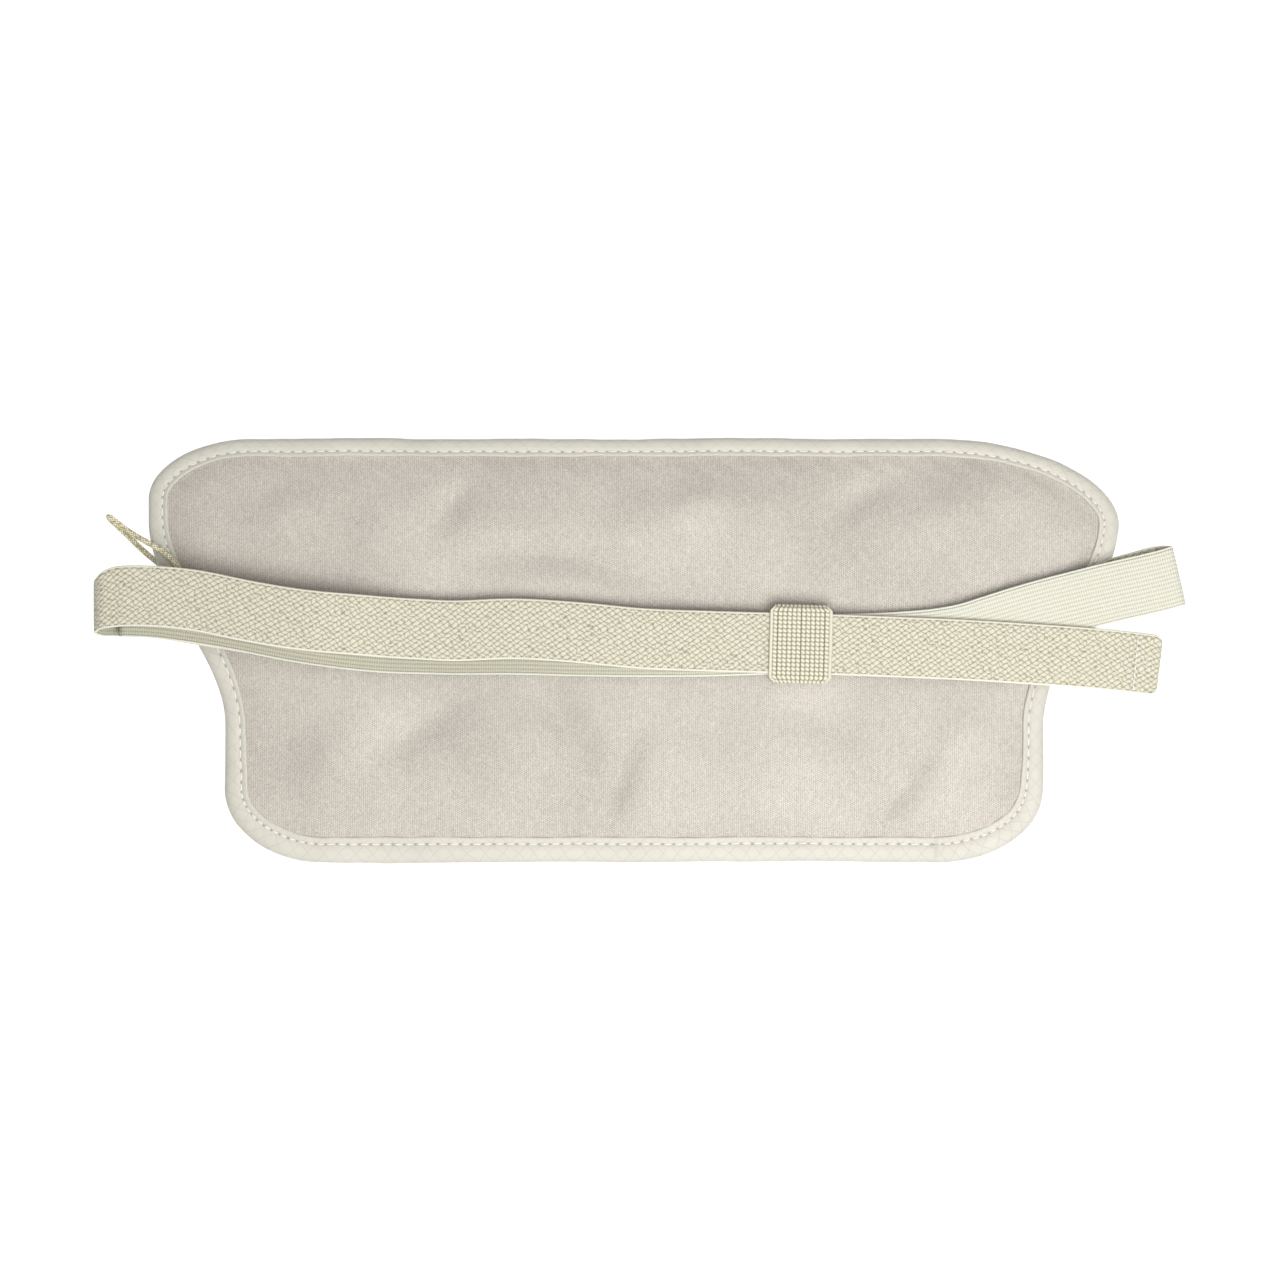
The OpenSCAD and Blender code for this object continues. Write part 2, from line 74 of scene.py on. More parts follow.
# How much each side draws in toward the bottom, and the heights between which it does
BOTTOM_NARROWER = 24.5
TAPER_LOW_Y, TAPER_HIGH_Y = -24, 42
# Half axes, along X and Y, of the outline's quarter-ellipse corners, by (1 right or -1 left, is top)
CORNERS = {(1, True): (60, 29), (-1, True): (34, 20), (-1, False): (32, 24), (1, False): (34, 24)}
CLOTH_T, LINING_T = 0.7, 0.35
# How far inside the pouch's edge the cloth is cut, and how far inside it comes out of the binding
RIM_HIDDEN = 3.6
RIM_SHOWN = 6.6
BINDING_Z = (rim_low[2] + rim_high[2]) / 2
BACK_Z = box_mm("back_panel")[1][2] - CLOTH_T / 2
FRONT_GAP = 0.2
FRONT_Z = FRONT_GAP + CLOTH_T / 2
ZIPS = {name: box_mm(f"{name}_zip_tapes") for name in ("main", "pocket")}
TAPE_OVERLAP = 2
SLOT_HALF_W = 4.5

STRAP_W, SHORT_STRAP_W, STRAP_T = 19.4, 16, 1.1
SELVEDGE_W, RIB_PITCH = 0.55, 1.3
KEEPER_LEN, KEEPER_W, KEEPER_HALF_T, KEEPER_YAW = 20, 25, 0.35, -1.5
KEEPER_CORDS, KEEPER_CORD_PITCH, KEEPER_ROW_PITCH = 12, 1.5, 1.36
STITCH_PITCH, STITCH_LEN, THREAD_R = 3.6, 2.7, 0.2

# Strap routes, the same stops as in the part: [x, y, z, yaw of the strap's width]
ROOT_ROUTE = [
    [146, 17.5, 6.3, 15], [153, 20.2, 6.3, 15], [160, 22.2, 6.3, 15], [166, 23.8, 6.3, 14],
    [169.8, 24.2, 6.5, 13], [171.6, 24.1, 7.1, 13], [171.9, 24, 7.8, 13], [171.2, 23.7, 8.5, 13],
]
LOWER_ROUTE = [
    [169, 23, 8.9, 14], [161, 21, 9.1, 14], [153, 19.2, 9.4, 15], [142, 16.5, 10, 15], [125, 12, 10.9, 16],
    [112, 8, 11.2, 15], [104, 5.5, 11.2, 12], [96, 4, 11.2, 7], [83, 2.8, 11.2, 1], [62, 2, 11.2, -1],
    [41, 2, 11.2, -2], [20, 1.4, 11.2, 1], [0, 1.3, 11.2, 1], [-20, 1.5, 11.2, -1], [-40, 2, 11.2, -1],
    [-62, 2, 11.2, -1], [-70, 2.2, 11.4, -2], [-80, 2.5, 12.4, -4], [-92, 3.5, 14.8, -7],
    [-102, 4.8, 16.8, -9], [-112, 6.4, 17.2, -10], [-125, 9, 17.2, -9], [-145, 12.4, 17.2, -8],
]
TURNS_ROUTE = [
    [-157, 13.8, 17.2, -5], [-162, 14, 17.1, -4], [-165, 14.1, 16.7, -3], [-165.5, 14.1, 16.1, -3],
    [-164.5, 14.1, 15.6, -4], [-160, 13.9, 15.4, -6], [-152, 14.4, 15.4, -9], [-147, 14.2, 15.4, -9.5],
    [-145.4, 13.9, 15, -9.5], [-144.8, 13.8, 13.6, -9.5], [-145.4, 13.9, 12.2, -9.5],
    [-147, 14.2, 11.8, -9.5], [-152, 14.6, 11.8, -9], [-160, 14.3, 11.8, -6], [-167.4, 14.2, 12, -3],
    [-172.1, 14.4, 13, -1], [-174.1, 15.2, 15.2, 0], [-172.5, 16.4, 17.4, 0], [-167.4, 17.2, 18.4, -1],
]
UPPER_ROUTE = [
    [-157, 17.4, 18.6, -3], [-144, 16.3, 18.6, -7], [-125, 12.6, 18.6, -9], [-112, 10.4, 18.6, -8],
    [-102, 9.2, 18.1, -6], [-92, 8.4, 16.3, -5], [-80, 7.4, 13.9, -4], [-70, 6.8, 12.8, -3],
    [-62, 6.4, 12.6, 0], [-40, 7, 12.6, 0], [-20, 5.8, 12.6, -4], [0, 3.9, 12.6, -4], [20, 3.1, 12.6, -2],
    [41, 2.5, 12.6, -2], [62, 1.9, 12.6, -2], [83, 1.1, 12.6, -3], [104, 0.2, 12.6, -3],
    [125, -1.1, 12.3, -4], [141, -2.2, 11.4, -4], [153, -3.3, 10.4, -6],
]
# The free end: its two layers lie in the room of the part's one thick hem.
HEM_ROUTE = [
    [156.8, -3.7, 10.3, -6], [158.2, -3.85, 9.95, -6], [159.6, -4, 10.2, -6], [162, -4.3, 9.9, -7],
    [164.5, -4.7, 9.35, -7], [165.6, -4.8, 8.8, -7], [164.8, -4.7, 8.25, -7], [161.5, -4.3, 8.75, -7],
    [156.8, -3.7, 9.2, -6],
]
SHORT_ROUTE = [
    [-147.6, 11.4, 6.3, -9.5], [-146.2, 11.4, 6.3, -9.5], [-145, 11.4, 7.2, -9.5],
    [-143.6, 11.4, 8.7, -9.5], [-142.2, 11.4, 9.85, -9.5], [-140.4, 11.4, 10, -9.5], [-134, 11, 10, -9.5],
    [-120, 9.5, 10, -9.5], [-106, 7.1, 10, -9.5], [-104.4, 6.8, 10.4, -9.5], [-103.6, 6.6, 11.8, -9.5],
    [-103.6, 6.6, 13.8, -9.5], [-104.1, 6.8, 14.9, -9.5], [-105.2, 6.9, 15.4, -9.5],
    [-107.2, 7.3, 15.4, -9.5], [-108.5, 7.5, 15, -9.5], [-109, 7.6, 13.9, -9.5], [-109, 7.6, 11.5, -9.5],
]
CORD_D, BRAID_PITCH, BRAID_STRANDS = 1.8, 1.0, 3
CORD_ROUTE = [
    [-129.6, 14.9, 0.95], [-133, 14.9, 0.95], [-138, 14.8, 0.95], [-143, 14.7, 0.95], [-147, 14.5, 0.95],
    [-150, 14.4, 0.98], [-151.6, 14.4, 2.3], [-152.1, 14.6, 4.1], [-151.4, 15, 6.1], [-149.4, 16.4, 7.1],
    [-147.9, 18.5, 7], [-147.3, 21, 7], [-147.3, 23.8, 7], [-148, 26.4, 7], [-149.8, 28.7, 6.9],
    [-152.6, 31.4, 6.8], [-155.4, 33.2, 6.8], [-158, 34.6, 6.5], [-160.8, 36.1, 5.2], [-163.8, 37.9, 3.6],
    [-166.8, 40, 2.8], [-169.2, 41.9, 2.6], [-170.8, 43, 2.1], [-170.5, 42.3, 1.3], [-169, 40.8, 0.95],
    [-166, 38, 0.95], [-162, 34.1, 0.95], [-158.3, 30.7, 0.95], [-154.6, 27.6, 0.95], [-151.2, 23.6, 0.95],
    [-147.5, 20.2, 0.95], [-143, 18.6, 0.95], [-138, 17.6, 0.95], [-133, 17.1, 0.95], [-129.6, 17, 0.95],
]


# ---- Lines and meshes ----


def smooth_step(t):
    t = np.clip(t, 0, 1)
    return t * t * (3 - 2 * t)


def unit(vectors):
    return vectors / np.linalg.norm(vectors, axis=1)[:, None]


def travel_along(line):
    """How far along a line each of its points lies."""
    steps = np.linalg.norm(np.diff(line, axis=0), axis=1)
    return np.concatenate([[0], np.cumsum(steps)])


def points_at(line, travel, at):
    """The points that lie at those distances along a line."""
    return np.stack([np.interp(at, travel, column) for column in line.T], axis=1)


def smooth_line(stops, spacing):
    """A smooth line through the stops, and how far along it each of its points lies. spacing is the distance
    between them, or one such per stop. Columns after the third, such as a yaw, are carried along."""
    stops = np.array(stops, float)
    chord = np.linalg.norm(np.diff(stops[:, :3], axis=0), axis=1)[:, None]
    slope = np.diff(stops, axis=0) / chord
    bend = (slope[:-1] * chord[1:] + slope[1:] * chord[:-1]) / (chord[:-1] + chord[1:])
    tangent = np.vstack([slope[:1], bend, slope[-1:]])
    spacing = np.broadcast_to(spacing, len(stops))
    points = [stops[:1]]
    for i, length in enumerate(chord[:, 0]):
        count = max(1, math.ceil(length / min(spacing[i], spacing[i + 1])))
        t = np.arange(1, count + 1)[:, None] / count
        points.append(
            (2 * t**3 - 3 * t**2 + 1) * stops[i] + (t**3 - 2 * t**2 + t) * length * tangent[i]
            + (3 * t**2 - 2 * t**3) * stops[i + 1] + (t**3 - t**2) * length * tangent[i + 1]
        )
    points = np.vstack(points)
    return points, travel_along(points[:, :3])


def directions(line):
    """The unit direction of a line at each of its points."""
    return unit(np.gradient(line, axis=0))


def closed_directions(line):
    """The unit direction of a line that closes on itself at each of its points."""
    return unit(np.roll(line, -1, axis=0) - np.roll(line, 1, axis=0))


def tube(line, side, up, radius, sides):
    """Rings of points round a line, which side and up lie across. radius is one number or one per point."""
    angle = 2 * math.pi * np.arange(sides) / sides
    round_it = np.cos(angle)[:, None] * side[:, None] + np.sin(angle)[:, None] * up[:, None]
    return line[:, None] + np.asarray(radius)[..., None] * round_it


def grid_faces(rows, columns, wrap_rows=False, wrap_columns=False):
    """Quads of a grid of points that is numbered row by row, closed on itself where it wraps."""
    row = np.arange(rows if wrap_rows else rows - 1)[:, None]
    column = np.arange(columns if wrap_columns else columns - 1)[None, :]
    next_row = (row + 1) % rows
    next_column = (column + 1) % columns
    corners = [
        row * columns + column, row * columns + next_column,
        next_row * columns + next_column, next_row * columns + column,
    ]
    return np.stack(np.broadcast_arrays(*corners), axis=-1).reshape(-1, 4)


def joined(solids):
    """The points and the faces of several solids as those of one mesh."""
    points, faces = [], []
    offset = 0
    for new_points, new_faces in solids:
        points.append(new_points)
        faces += [[index + offset for index in face] for face in new_faces]
        offset += len(new_points)
    return np.vstack(points), faces


def woven(shape, along, across, from_edge):
    """Woven coordinates for every point of a grid of that shape, as new_piece takes them."""
    grids = [np.broadcast_to(value, shape) for value in (along, across, from_edge)]
    return np.stack(grids, axis=-1).reshape(-1, 3)


def add_object(name, data):
    made = bpy.data.objects.new(name, data)
    bpy.context.scene.collection.objects.link(made)
    return made


def new_piece(name, points, faces, weave=None, side=None, closed=True):
    """A mesh object from points in millimetres. weave holds (along, across, distance from the edge) of each
    point, and side is 1 on a strap's pebbled face and 0 on its ribbed face, while on the keeper it holds the
    lightness, with painted shade between the cords; materials read both."""
    mesh = bpy.data.meshes.new(name)
    mesh.from_pydata((np.asarray(points) * MM).tolist(), [], [list(map(int, face)) for face in faces])
    if weave is not None:
        made = mesh.attributes.new("weave", "FLOAT_VECTOR", "POINT")
        made.data.foreach_set("vector", (np.asarray(weave, float) * MM).astype(np.float32).ravel())
    if side is not None:
        made = mesh.attributes.new("side", "FLOAT", "POINT")
        made.data.foreach_set("value", np.asarray(side, np.float32).ravel())
    if closed:
        shell = bmesh.new()
        shell.from_mesh(mesh)
        bmesh.ops.recalc_face_normals(shell, faces=shell.faces)
        shell.to_mesh(mesh)
        shell.free()
    mesh.shade_smooth()
    mesh.set_sharp_from_angle(angle=math.radians(55))
    return add_object(name, mesh)


def finish_piece(piece, material, body="pouch", replaces=()):
    """Gives a piece its material and slot, the body it rides on, and the CAD nodes that it stands for."""
    piece.data.materials.clear()
    piece.data.materials.append(material)
    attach(piece, body)
    if replaces:
        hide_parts(*replaces)
    return piece


def skin(rings, closed_line=False):
    """Points and faces of a solid from rings of points; its two ends are capped unless the line closes."""
    rows, columns = rings.shape[:2]
    faces = [list(face) for face in grid_faces(rows, columns, closed_line, True)]
    if not closed_line:
        faces.append(list(range(columns))[::-1])
        faces.append(list(range((rows - 1) * columns, rows * columns)))
    return rings.reshape(-1, 3), faces


def thread_stitches(stitches, up=(0, 0, 1), radius=THREAD_R, sides=6):
    """Points and faces of a row of stitches, each a short arched tube whose two ends dip into the cloth."""
    share = np.array([0, 0.12, 0.5, 0.88, 1])
    swell = np.array([0.35, 0.95, 1.1, 0.95, 0.35])
    dip = np.array([-1.1, -0.1, 0.25, -0.1, -1.1]) * radius
    up = np.array(up, float)
    solids = []
    for start, end in stitches:
        start, end = np.array(start, float), np.array(end, float)
        forward = (end - start) / np.linalg.norm(end - start)
        side = np.cross(up, forward)
        ring_up = np.cross(forward, side)
        middle = start + share[:, None] * (end - start) + dip[:, None] * up
        solids.append(skin(tube(middle, side[None], ring_up[None], (swell * radius)[:, None], sides)))
    return joined(solids)


def evenly(line, travel, pitch, length):
    """The two ends of a stitch of that length at every pitch along a line."""
    starts = np.arange(pitch / 2, travel[-1] - length, pitch)
    return list(zip(points_at(line, travel, starts), points_at(line, travel, starts + length)))


def perlin(x, y, size, seed):
    """Smooth noise from -1 to 1 at each place, with features about that size."""
    offset = Vector((seed * 13.7, seed * 5.3, seed * 7.9))
    places = zip(x.ravel(), y.ravel())
    values = [noise.noise(Vector((px, py, 0)) / size + offset) for px, py in places]
    return np.array(values).reshape(x.shape)


# ---- The pouch's outline ----


def side_x(y, inset, side):
    """x of the outline's right (side 1) or left (side -1) edge at each y, drawn in by inset."""
    width = HALF_W - BOTTOM_NARROWER * (1 - smooth_step((y - TAPER_LOW_Y) / (TAPER_HIGH_Y - TAPER_LOW_Y)))
    top, bottom = CORNERS[side, True], CORNERS[side, False]
    reach_x, reach_y = (np.where(y > 0, top[axis], bottom[axis]) for axis in (0, 1))
    past = np.clip((np.abs(y) - (HALF_H - reach_y)) / (reach_y - inset), 0, 1)
    cut = (reach_x - inset) * (1 - np.sqrt(1 - past**2))
    return POUCH_X + side * (width - inset - cut)


def outline_line(inset, spacing):
    """The outline drawn in by inset, closed and counter-clockwise, and how far round it each point lies."""
    half_h = HALF_H - inset
    turn = np.linspace(-math.pi / 2, math.pi / 2, 241)
    y = half_h * np.sin(turn)
    right = np.stack([side_x(y, inset, 1), y], axis=1)
    left = np.stack([side_x(y, inset, -1), y], axis=1)[::-1]
    loop = np.vstack([right, left, right[:1]])
    travel = travel_along(loop)
    at = np.linspace(0, travel[-1], round(travel[-1] / spacing) + 1)[:-1]
    return points_at(loop, travel, at), at


def panel_grid(inset, columns, rows, more_x=(), more_y=(), high_y=None):
    """x and y of a grid that fills the outline, its rows closer toward top and bottom. more_x and more_y are
    lines that the grid has to have, and high_y is where it ends short of the top."""
    crowding = 0.12
    t = np.linspace(-1, 1, rows)
    y = (HALF_H - inset) * (t + crowding * np.sin(math.pi * t))
    y = np.unique(np.concatenate([y, more_y]))
    if high_y is not None:
        y = np.append(y[y < high_y - 0.5], high_y)
    share = np.linspace(0, 1, columns)
    width = 2 * (HALF_W - inset)
    share = np.unique(np.concatenate([share, (np.array(more_x) - POUCH_X) / width + 0.5]))
    left = side_x(y, inset, -1)[:, None]
    right = side_x(y, inset, 1)[:, None]
    x = left + (right - left) * share[None, :]
    return x, np.broadcast_to(y[:, None], x.shape)


def inset_at(x, y):
    """How far inside the pouch's edge each point is."""
    line, _ = outline_line(0, 2)
    edge = KDTree(len(line))
    for index, (edge_x, edge_y) in enumerate(line):
        edge.insert((edge_x, edge_y, 0), index)
    edge.balance()
    distance = [edge.find((float(px), float(py), 0))[2] for px, py in zip(x.ravel(), y.ravel())]
    return np.array(distance).reshape(x.shape)


def rise(inset, start, reach):
    """From 0 at the sewn edge to 1 where the cloth has swelled to its full height."""
    t = np.clip((inset - start) / reach, 0, 1)
    return 1 - (1 - t) ** 2.4


# ---- Materials ----


class Paint:
    """A material with its Principled shader, and short ways to add and join nodes."""

    def __init__(self, name, roughness, **settings):
        self.material = bpy.data.materials.new(name)
        self.material.use_nodes = True
        self.tree = self.material.node_tree
        self.shader = self.tree.nodes["Principled BSDF"]
        self.shader.inputs["Roughness"].default_value = roughness
        for socket, value in settings.items():
            self.shader.inputs[socket.replace("_", " ")].default_value = value

    def feed(self, socket, value):
        if isinstance(value, bpy.types.NodeSocket):
            self.tree.links.new(value, socket)
        else:
            socket.default_value = value

    def place(self):
        return self.tree.nodes.new("ShaderNodeTexCoord").outputs["Object"]

    def stored(self, name, output="Vector"):
        node = self.tree.nodes.new("ShaderNodeAttribute")
        node.attribute_name = name
        return node.outputs[output]

    def split(self, vector):
        node = self.tree.nodes.new("ShaderNodeSeparateXYZ")
        self.feed(node.inputs[0], vector)
        return node.outputs

    def math(self, operation, first, second=0.0):
        node = self.tree.nodes.new("ShaderNodeMath")
        node.operation = operation
        self.feed(node.inputs[0], first)
        self.feed(node.inputs[1], second)
        return node.outputs[0]

    def add(self, first, second):
        return self.math("ADD", first, second)

    def subtract(self, first, second):
        return self.math("SUBTRACT", first, second)

    def multiply(self, first, second):
        return self.math("MULTIPLY", first, second)

    def invert(self, value):
        return self.math("SUBTRACT", 1.0, value)

    def weighted(self, first, first_share, second, second_share):
        return self.add(self.multiply(first, first_share), self.multiply(second, second_share))

    def noise(self, vector, scale, detail):
        """Noise at one scale, or at a scale of its own along each axis."""
        if isinstance(scale, tuple):
            stretch = self.tree.nodes.new("ShaderNodeMapping")
            self.feed(stretch.inputs["Vector"], vector)
            stretch.inputs["Scale"].default_value = scale
            vector, scale = stretch.outputs[0], 1
        node = self.tree.nodes.new("ShaderNodeTexNoise")
        self.feed(node.inputs["Vector"], vector)
        node.inputs["Scale"].default_value = scale
        node.inputs["Detail"].default_value = detail
        return node.outputs[0]

    def wave(self, value, pitch):
        """|sin| bumps from 0 to 1, one every pitch metres."""
        turned = self.multiply(value, math.pi / pitch)
        return self.math("ABSOLUTE", self.math("SINE", turned))

    def ramp(self, value, low, high):
        """0 below low, 1 above high, and smooth between."""
        node = self.tree.nodes.new("ShaderNodeMapRange")
        node.interpolation_type = "SMOOTHSTEP"
        self.feed(node.inputs["Value"], value)
        node.inputs["From Min"].default_value = low
        node.inputs["From Max"].default_value = high
        return node.outputs[0]

    def blend(self, share, first, second, kind="RGBA"):
        """first where share is 0 and second where it is 1, of colours or of numbers."""
        node = self.tree.nodes.new("ShaderNodeMix")
        node.data_type = kind
        sockets = [s for s in node.inputs if s.enabled and s.name in ("Factor", "A", "B")]
        for socket, value in zip(sockets, (share, first, second)):
            if kind == "RGBA" and isinstance(value, tuple):
                value = (*value, 1)
            self.feed(socket, value)
        return [s for s in node.outputs if s.enabled][0]

    def shade(self, tone, low, high, dark, light):
        """dark where tone is below low, light where it is above high, and blended between."""
        return self.blend(self.ramp(tone, low, high), dark, light)

    def finish(self, colour, height=None, depth=0.1, strength=1.0):
        """Joins a colour and a bump, whose height of 1 stands depth millimetres high."""
        self.feed(self.shader.inputs["Base Color"], colour)
        if height is not None:
            bump = self.tree.nodes.new("ShaderNodeBump")
            bump.inputs["Strength"].default_value = strength
            bump.inputs["Distance"].default_value = depth * MM
            self.feed(bump.inputs["Height"], height)
            self.feed(self.shader.inputs["Normal"], bump.outputs[0])
        return self.material


def knit_material(name, low, high):
    """Fine jersey: upright wales crossed by slanting courses, with a little unevenness in the yarn."""
    wale_pitch, course_pitch, course_slant = 0.6 * MM, 0.66 * MM, 0.5
    paint = Paint(name, 0.9, Sheen_Weight=0.25, Sheen_Roughness=0.5)
    place = paint.place()
    axis = paint.split(place)
    wales = paint.wave(axis["X"], wale_pitch)
    courses = paint.wave(paint.add(axis["Y"], paint.multiply(axis["X"], course_slant)), course_pitch)
    stitch = paint.multiply(paint.math("POWER", wales, 0.7), paint.math("POWER", courses, 0.5))
    yarn = paint.noise(place, (2400, 2100, 2400), 1)
    slub = paint.noise(place, (900, 420, 600), 2)
    cloud = paint.noise(place, 26, 2)
    tone = paint.weighted(stitch, 0.4, yarn, 0.6)
    tone = paint.add(tone, paint.multiply(slub, 0.2))
    tone = paint.add(tone, paint.multiply(paint.subtract(cloud, 0.5), 0.25))
    colour = paint.shade(tone, 0.3, 1.05, low, high)
    return paint.finish(colour, stitch, 0.12, 0.5)


def binding_material():
    """Woven tape with a faint pressed diamond grid, and dark needle holes between the seam's stitches."""
    crease_pitch, weave_pitch, waver = 5.2 * MM, 0.35 * MM, 4 * MM
    paint = Paint("binding_tape", 0.55, Sheen_Weight=0.15)
    weave = paint.split(paint.stored("weave"))
    creases = []
    for slant in (1.1, -1.1):
        line = paint.add(weave["X"], paint.multiply(weave["Y"], slant))
        line = paint.add(line, paint.multiply(paint.noise(paint.place(), 120, 1), waver))
        creases.append(paint.ramp(paint.wave(line, crease_pitch), 0.0, 0.16))
    grid = paint.multiply(*creases)
    fine = paint.multiply(paint.wave(weave["X"], weave_pitch), paint.wave(weave["Y"], weave_pitch))
    cloud = paint.noise(paint.place(), 90, 3)
    tone = paint.weighted(grid, 0.35, cloud, 0.7)
    colour = paint.shade(tone, 0.1, 1.0, (0.345, 0.33, 0.282), (0.425, 0.408, 0.355))
    off_seam = paint.math("ABSOLUTE", paint.subtract(weave["Z"], SEAM_INSET * MM))
    on_seam = paint.invert(paint.ramp(off_seam, 0.15 * MM, 0.4 * MM))
    hole = paint.multiply(on_seam, paint.ramp(paint.wave(weave["X"], STITCH_PITCH * MM), 0.75, 0.95))
    colour = paint.blend(paint.multiply(hole, 0.7), colour, (0.16, 0.15, 0.12))
    height = paint.add(grid, paint.multiply(fine, 0.3))
    return paint.finish(colour, height, 0.12, 0.45)


def elastic_material(name, dark, light):
    """Woven elastic: slanting rows of pebbles on one face, ribs on the other, and edges with a dotted row."""
    pebble_len, pebble_w, slip_reach, dot_pitch = 2.5, 1.8, 2.0 * MM, 0.75 * MM
    selvedge_w = SELVEDGE_W * MM
    groove_low, groove_high = selvedge_w + 0.2 * MM, selvedge_w + 0.55 * MM
    paint = Paint(name, 0.85, Sheen_Weight=0.2)
    weave = paint.split(paint.stored("weave"))
    along, across, edge = weave["X"], weave["Y"], weave["Z"]
    wobble = paint.subtract(paint.noise(paint.stored("weave"), (520, 520, 0), 1), 0.5)
    slip = paint.multiply(wobble, slip_reach)
    u = paint.math("DIVIDE", paint.add(along, slip), pebble_len)
    v = paint.math("DIVIDE", paint.add(across, slip), pebble_w)
    first = paint.wave(paint.add(u, v), MM)
    second = paint.wave(paint.subtract(u, v), MM)
    pebbles = paint.math("POWER", paint.multiply(first, second), 0.3)
    ribs = paint.wave(across, RIB_PITCH * MM)
    dots = paint.wave(along, dot_pitch)
    ribbed = paint.add(paint.weighted(ribs, 0.3, dots, 0.3), 0.35)
    face = paint.blend(paint.stored("side", "Fac"), ribbed, pebbles, "FLOAT")
    in_selvedge = paint.invert(paint.ramp(edge, selvedge_w, selvedge_w + 0.15 * MM))
    in_groove = paint.multiply(paint.ramp(edge, selvedge_w, groove_low),
                               paint.invert(paint.ramp(edge, groove_low, groove_high)))
    groove = paint.multiply(in_groove, paint.invert(paint.multiply(dots, 0.75)))
    height = paint.blend(in_selvedge, face, 0.8, "FLOAT")
    height = paint.subtract(height, paint.multiply(groove, 0.45))
    yarn = paint.noise(paint.stored("weave"), (2600, 1200, 0), 2)
    # The colour follows the relief, so the gaps between pebbles and ribs and the groove's dots are painted
    # darker: painted shade.
    tone = paint.weighted(height, 0.8, yarn, 0.35)
    body = paint.shade(tone, 0.12, 1.05, dark, light)
    ribbed_side = paint.invert(paint.stored("side", "Fac"))
    # The ribbed face takes its own colour, with painted shade toward its left end.
    body = paint.blend(paint.multiply(ribbed_side, 0.75), body, ribbed_colour_with_painted_shade(paint, tone))
    # The selvedges are paler yarn, and the lower edge is painted lighter still: a painted highlight where
    # light falls on its side.
    selvedge_pale_and_highlight = paint.add(0.15, paint.multiply(paint.ramp(across, 1 * MM, -1 * MM), 0.3))
    colour = paint.blend(paint.multiply(in_selvedge, selvedge_pale_and_highlight), body, (0.68, 0.67, 0.6))
    return paint.finish(colour, height, 0.3, 0.7)


def ribbed_colour_with_painted_shade(paint, tone):
    """Colour of the strap's ribbed face: pale where it fans out on the right, and darker olive toward the
    left, where the darkening is painted shade for the shade under the upper layer.
    """
    out_of_painted_shade = paint.ramp(paint.split(paint.place())["X"], -60 * MM, 110 * MM)
    # dull is the shaded copy of the ribbed colour: painted shade.
    dull = paint.shade(tone, 0.25, 1.0, (0.11, 0.11, 0.075), (0.33, 0.325, 0.245))
    pale = paint.shade(tone, 0.15, 1.0, (0.24, 0.237, 0.19), (0.53, 0.52, 0.445))
    return paint.blend(out_of_painted_shade, dull, pale)


def cord_material():
    """Braided cord in cream and olive yarns, with painted shade in dark brown where the yarns dip between
    strands.
    """
    pitch = BRAID_PITCH * MM
    paint = Paint("braided_cord_yarn", 0.75, Sheen_Weight=0.1)
    weave = paint.split(paint.stored("weave"))
    first = paint.wave(paint.add(weave["X"], weave["Y"]), pitch)
    second = paint.wave(paint.subtract(weave["X"], weave["Y"]), pitch)
    yarns = paint.multiply(first, second)
    flecks = paint.noise(paint.stored("weave"), (900, 900, 0), 1)
    olive = paint.shade(flecks, 0.40, 0.54, (0.42, 0.375, 0.19), (0.80, 0.76, 0.60))
    # Dark brown where the yarns dip between strands: painted shade.
    colour = paint.shade(yarns, 0.05, 0.4, (0.26, 0.22, 0.11), olive)
    return paint.finish(colour, yarns, 0.18, 0.9)


def thread_material():
    """Spun polyester thread with a fine twist."""
    paint = Paint("sewing_thread", 0.6, Sheen_Weight=0.2)
    axis = paint.split(paint.place())
    twist = paint.wave(paint.add(axis["X"], paint.multiply(axis["Y"], 0.8)), 0.28 * MM)
    colour = paint.blend(twist, (0.46, 0.44, 0.39), (0.66, 0.64, 0.58))
    return paint.finish(colour, twist, 0.05, 0.5)


def tape_material():
    """Twill zip tape."""
    paint = Paint("zip_tape_twill", 0.8, Sheen_Weight=0.15)
    axis = paint.split(paint.place())
    slant = paint.wave(paint.add(axis["X"], axis["Y"]), 0.5 * MM)
    rows = paint.wave(axis["Y"], 0.7 * MM)
    twill = paint.multiply(slant, rows)
    cloud = paint.noise(paint.place(), 200, 3)
    tone = paint.weighted(twill, 0.7, cloud, 0.4)
    colour = paint.shade(tone, 0.1, 1.0, (0.36, 0.33, 0.27), (0.52, 0.49, 0.42))
    return paint.finish(colour, twill, 0.08, 0.6)


def coil_material():
    """Nylon filament of the zip's coil, a little clouded."""
    paint = Paint("zip_coil_nylon", 0.35, Coat_Weight=0.2)
    cloud = paint.noise(paint.place(), 500, 3)
    colour = paint.shade(cloud, 0.3, 0.7, (0.43, 0.40, 0.33), (0.52, 0.49, 0.42))
    return paint.finish(colour, cloud, 0.02, 0.5)


def metal_material():
    """Cast zinc with a dull plated finish, brighter where it rubs."""
    paint = Paint("zip_zinc", 0.34, Metallic=1.0)
    place = paint.place()
    grain = paint.noise(place, (3000, 500, 1200), 4)
    spots = paint.noise(place, 900, 4)
    colour = paint.shade(spots, 0.35, 0.7, (0.33, 0.32, 0.30), (0.55, 0.54, 0.52))
    return paint.finish(colour, grain, 0.02, 0.5)


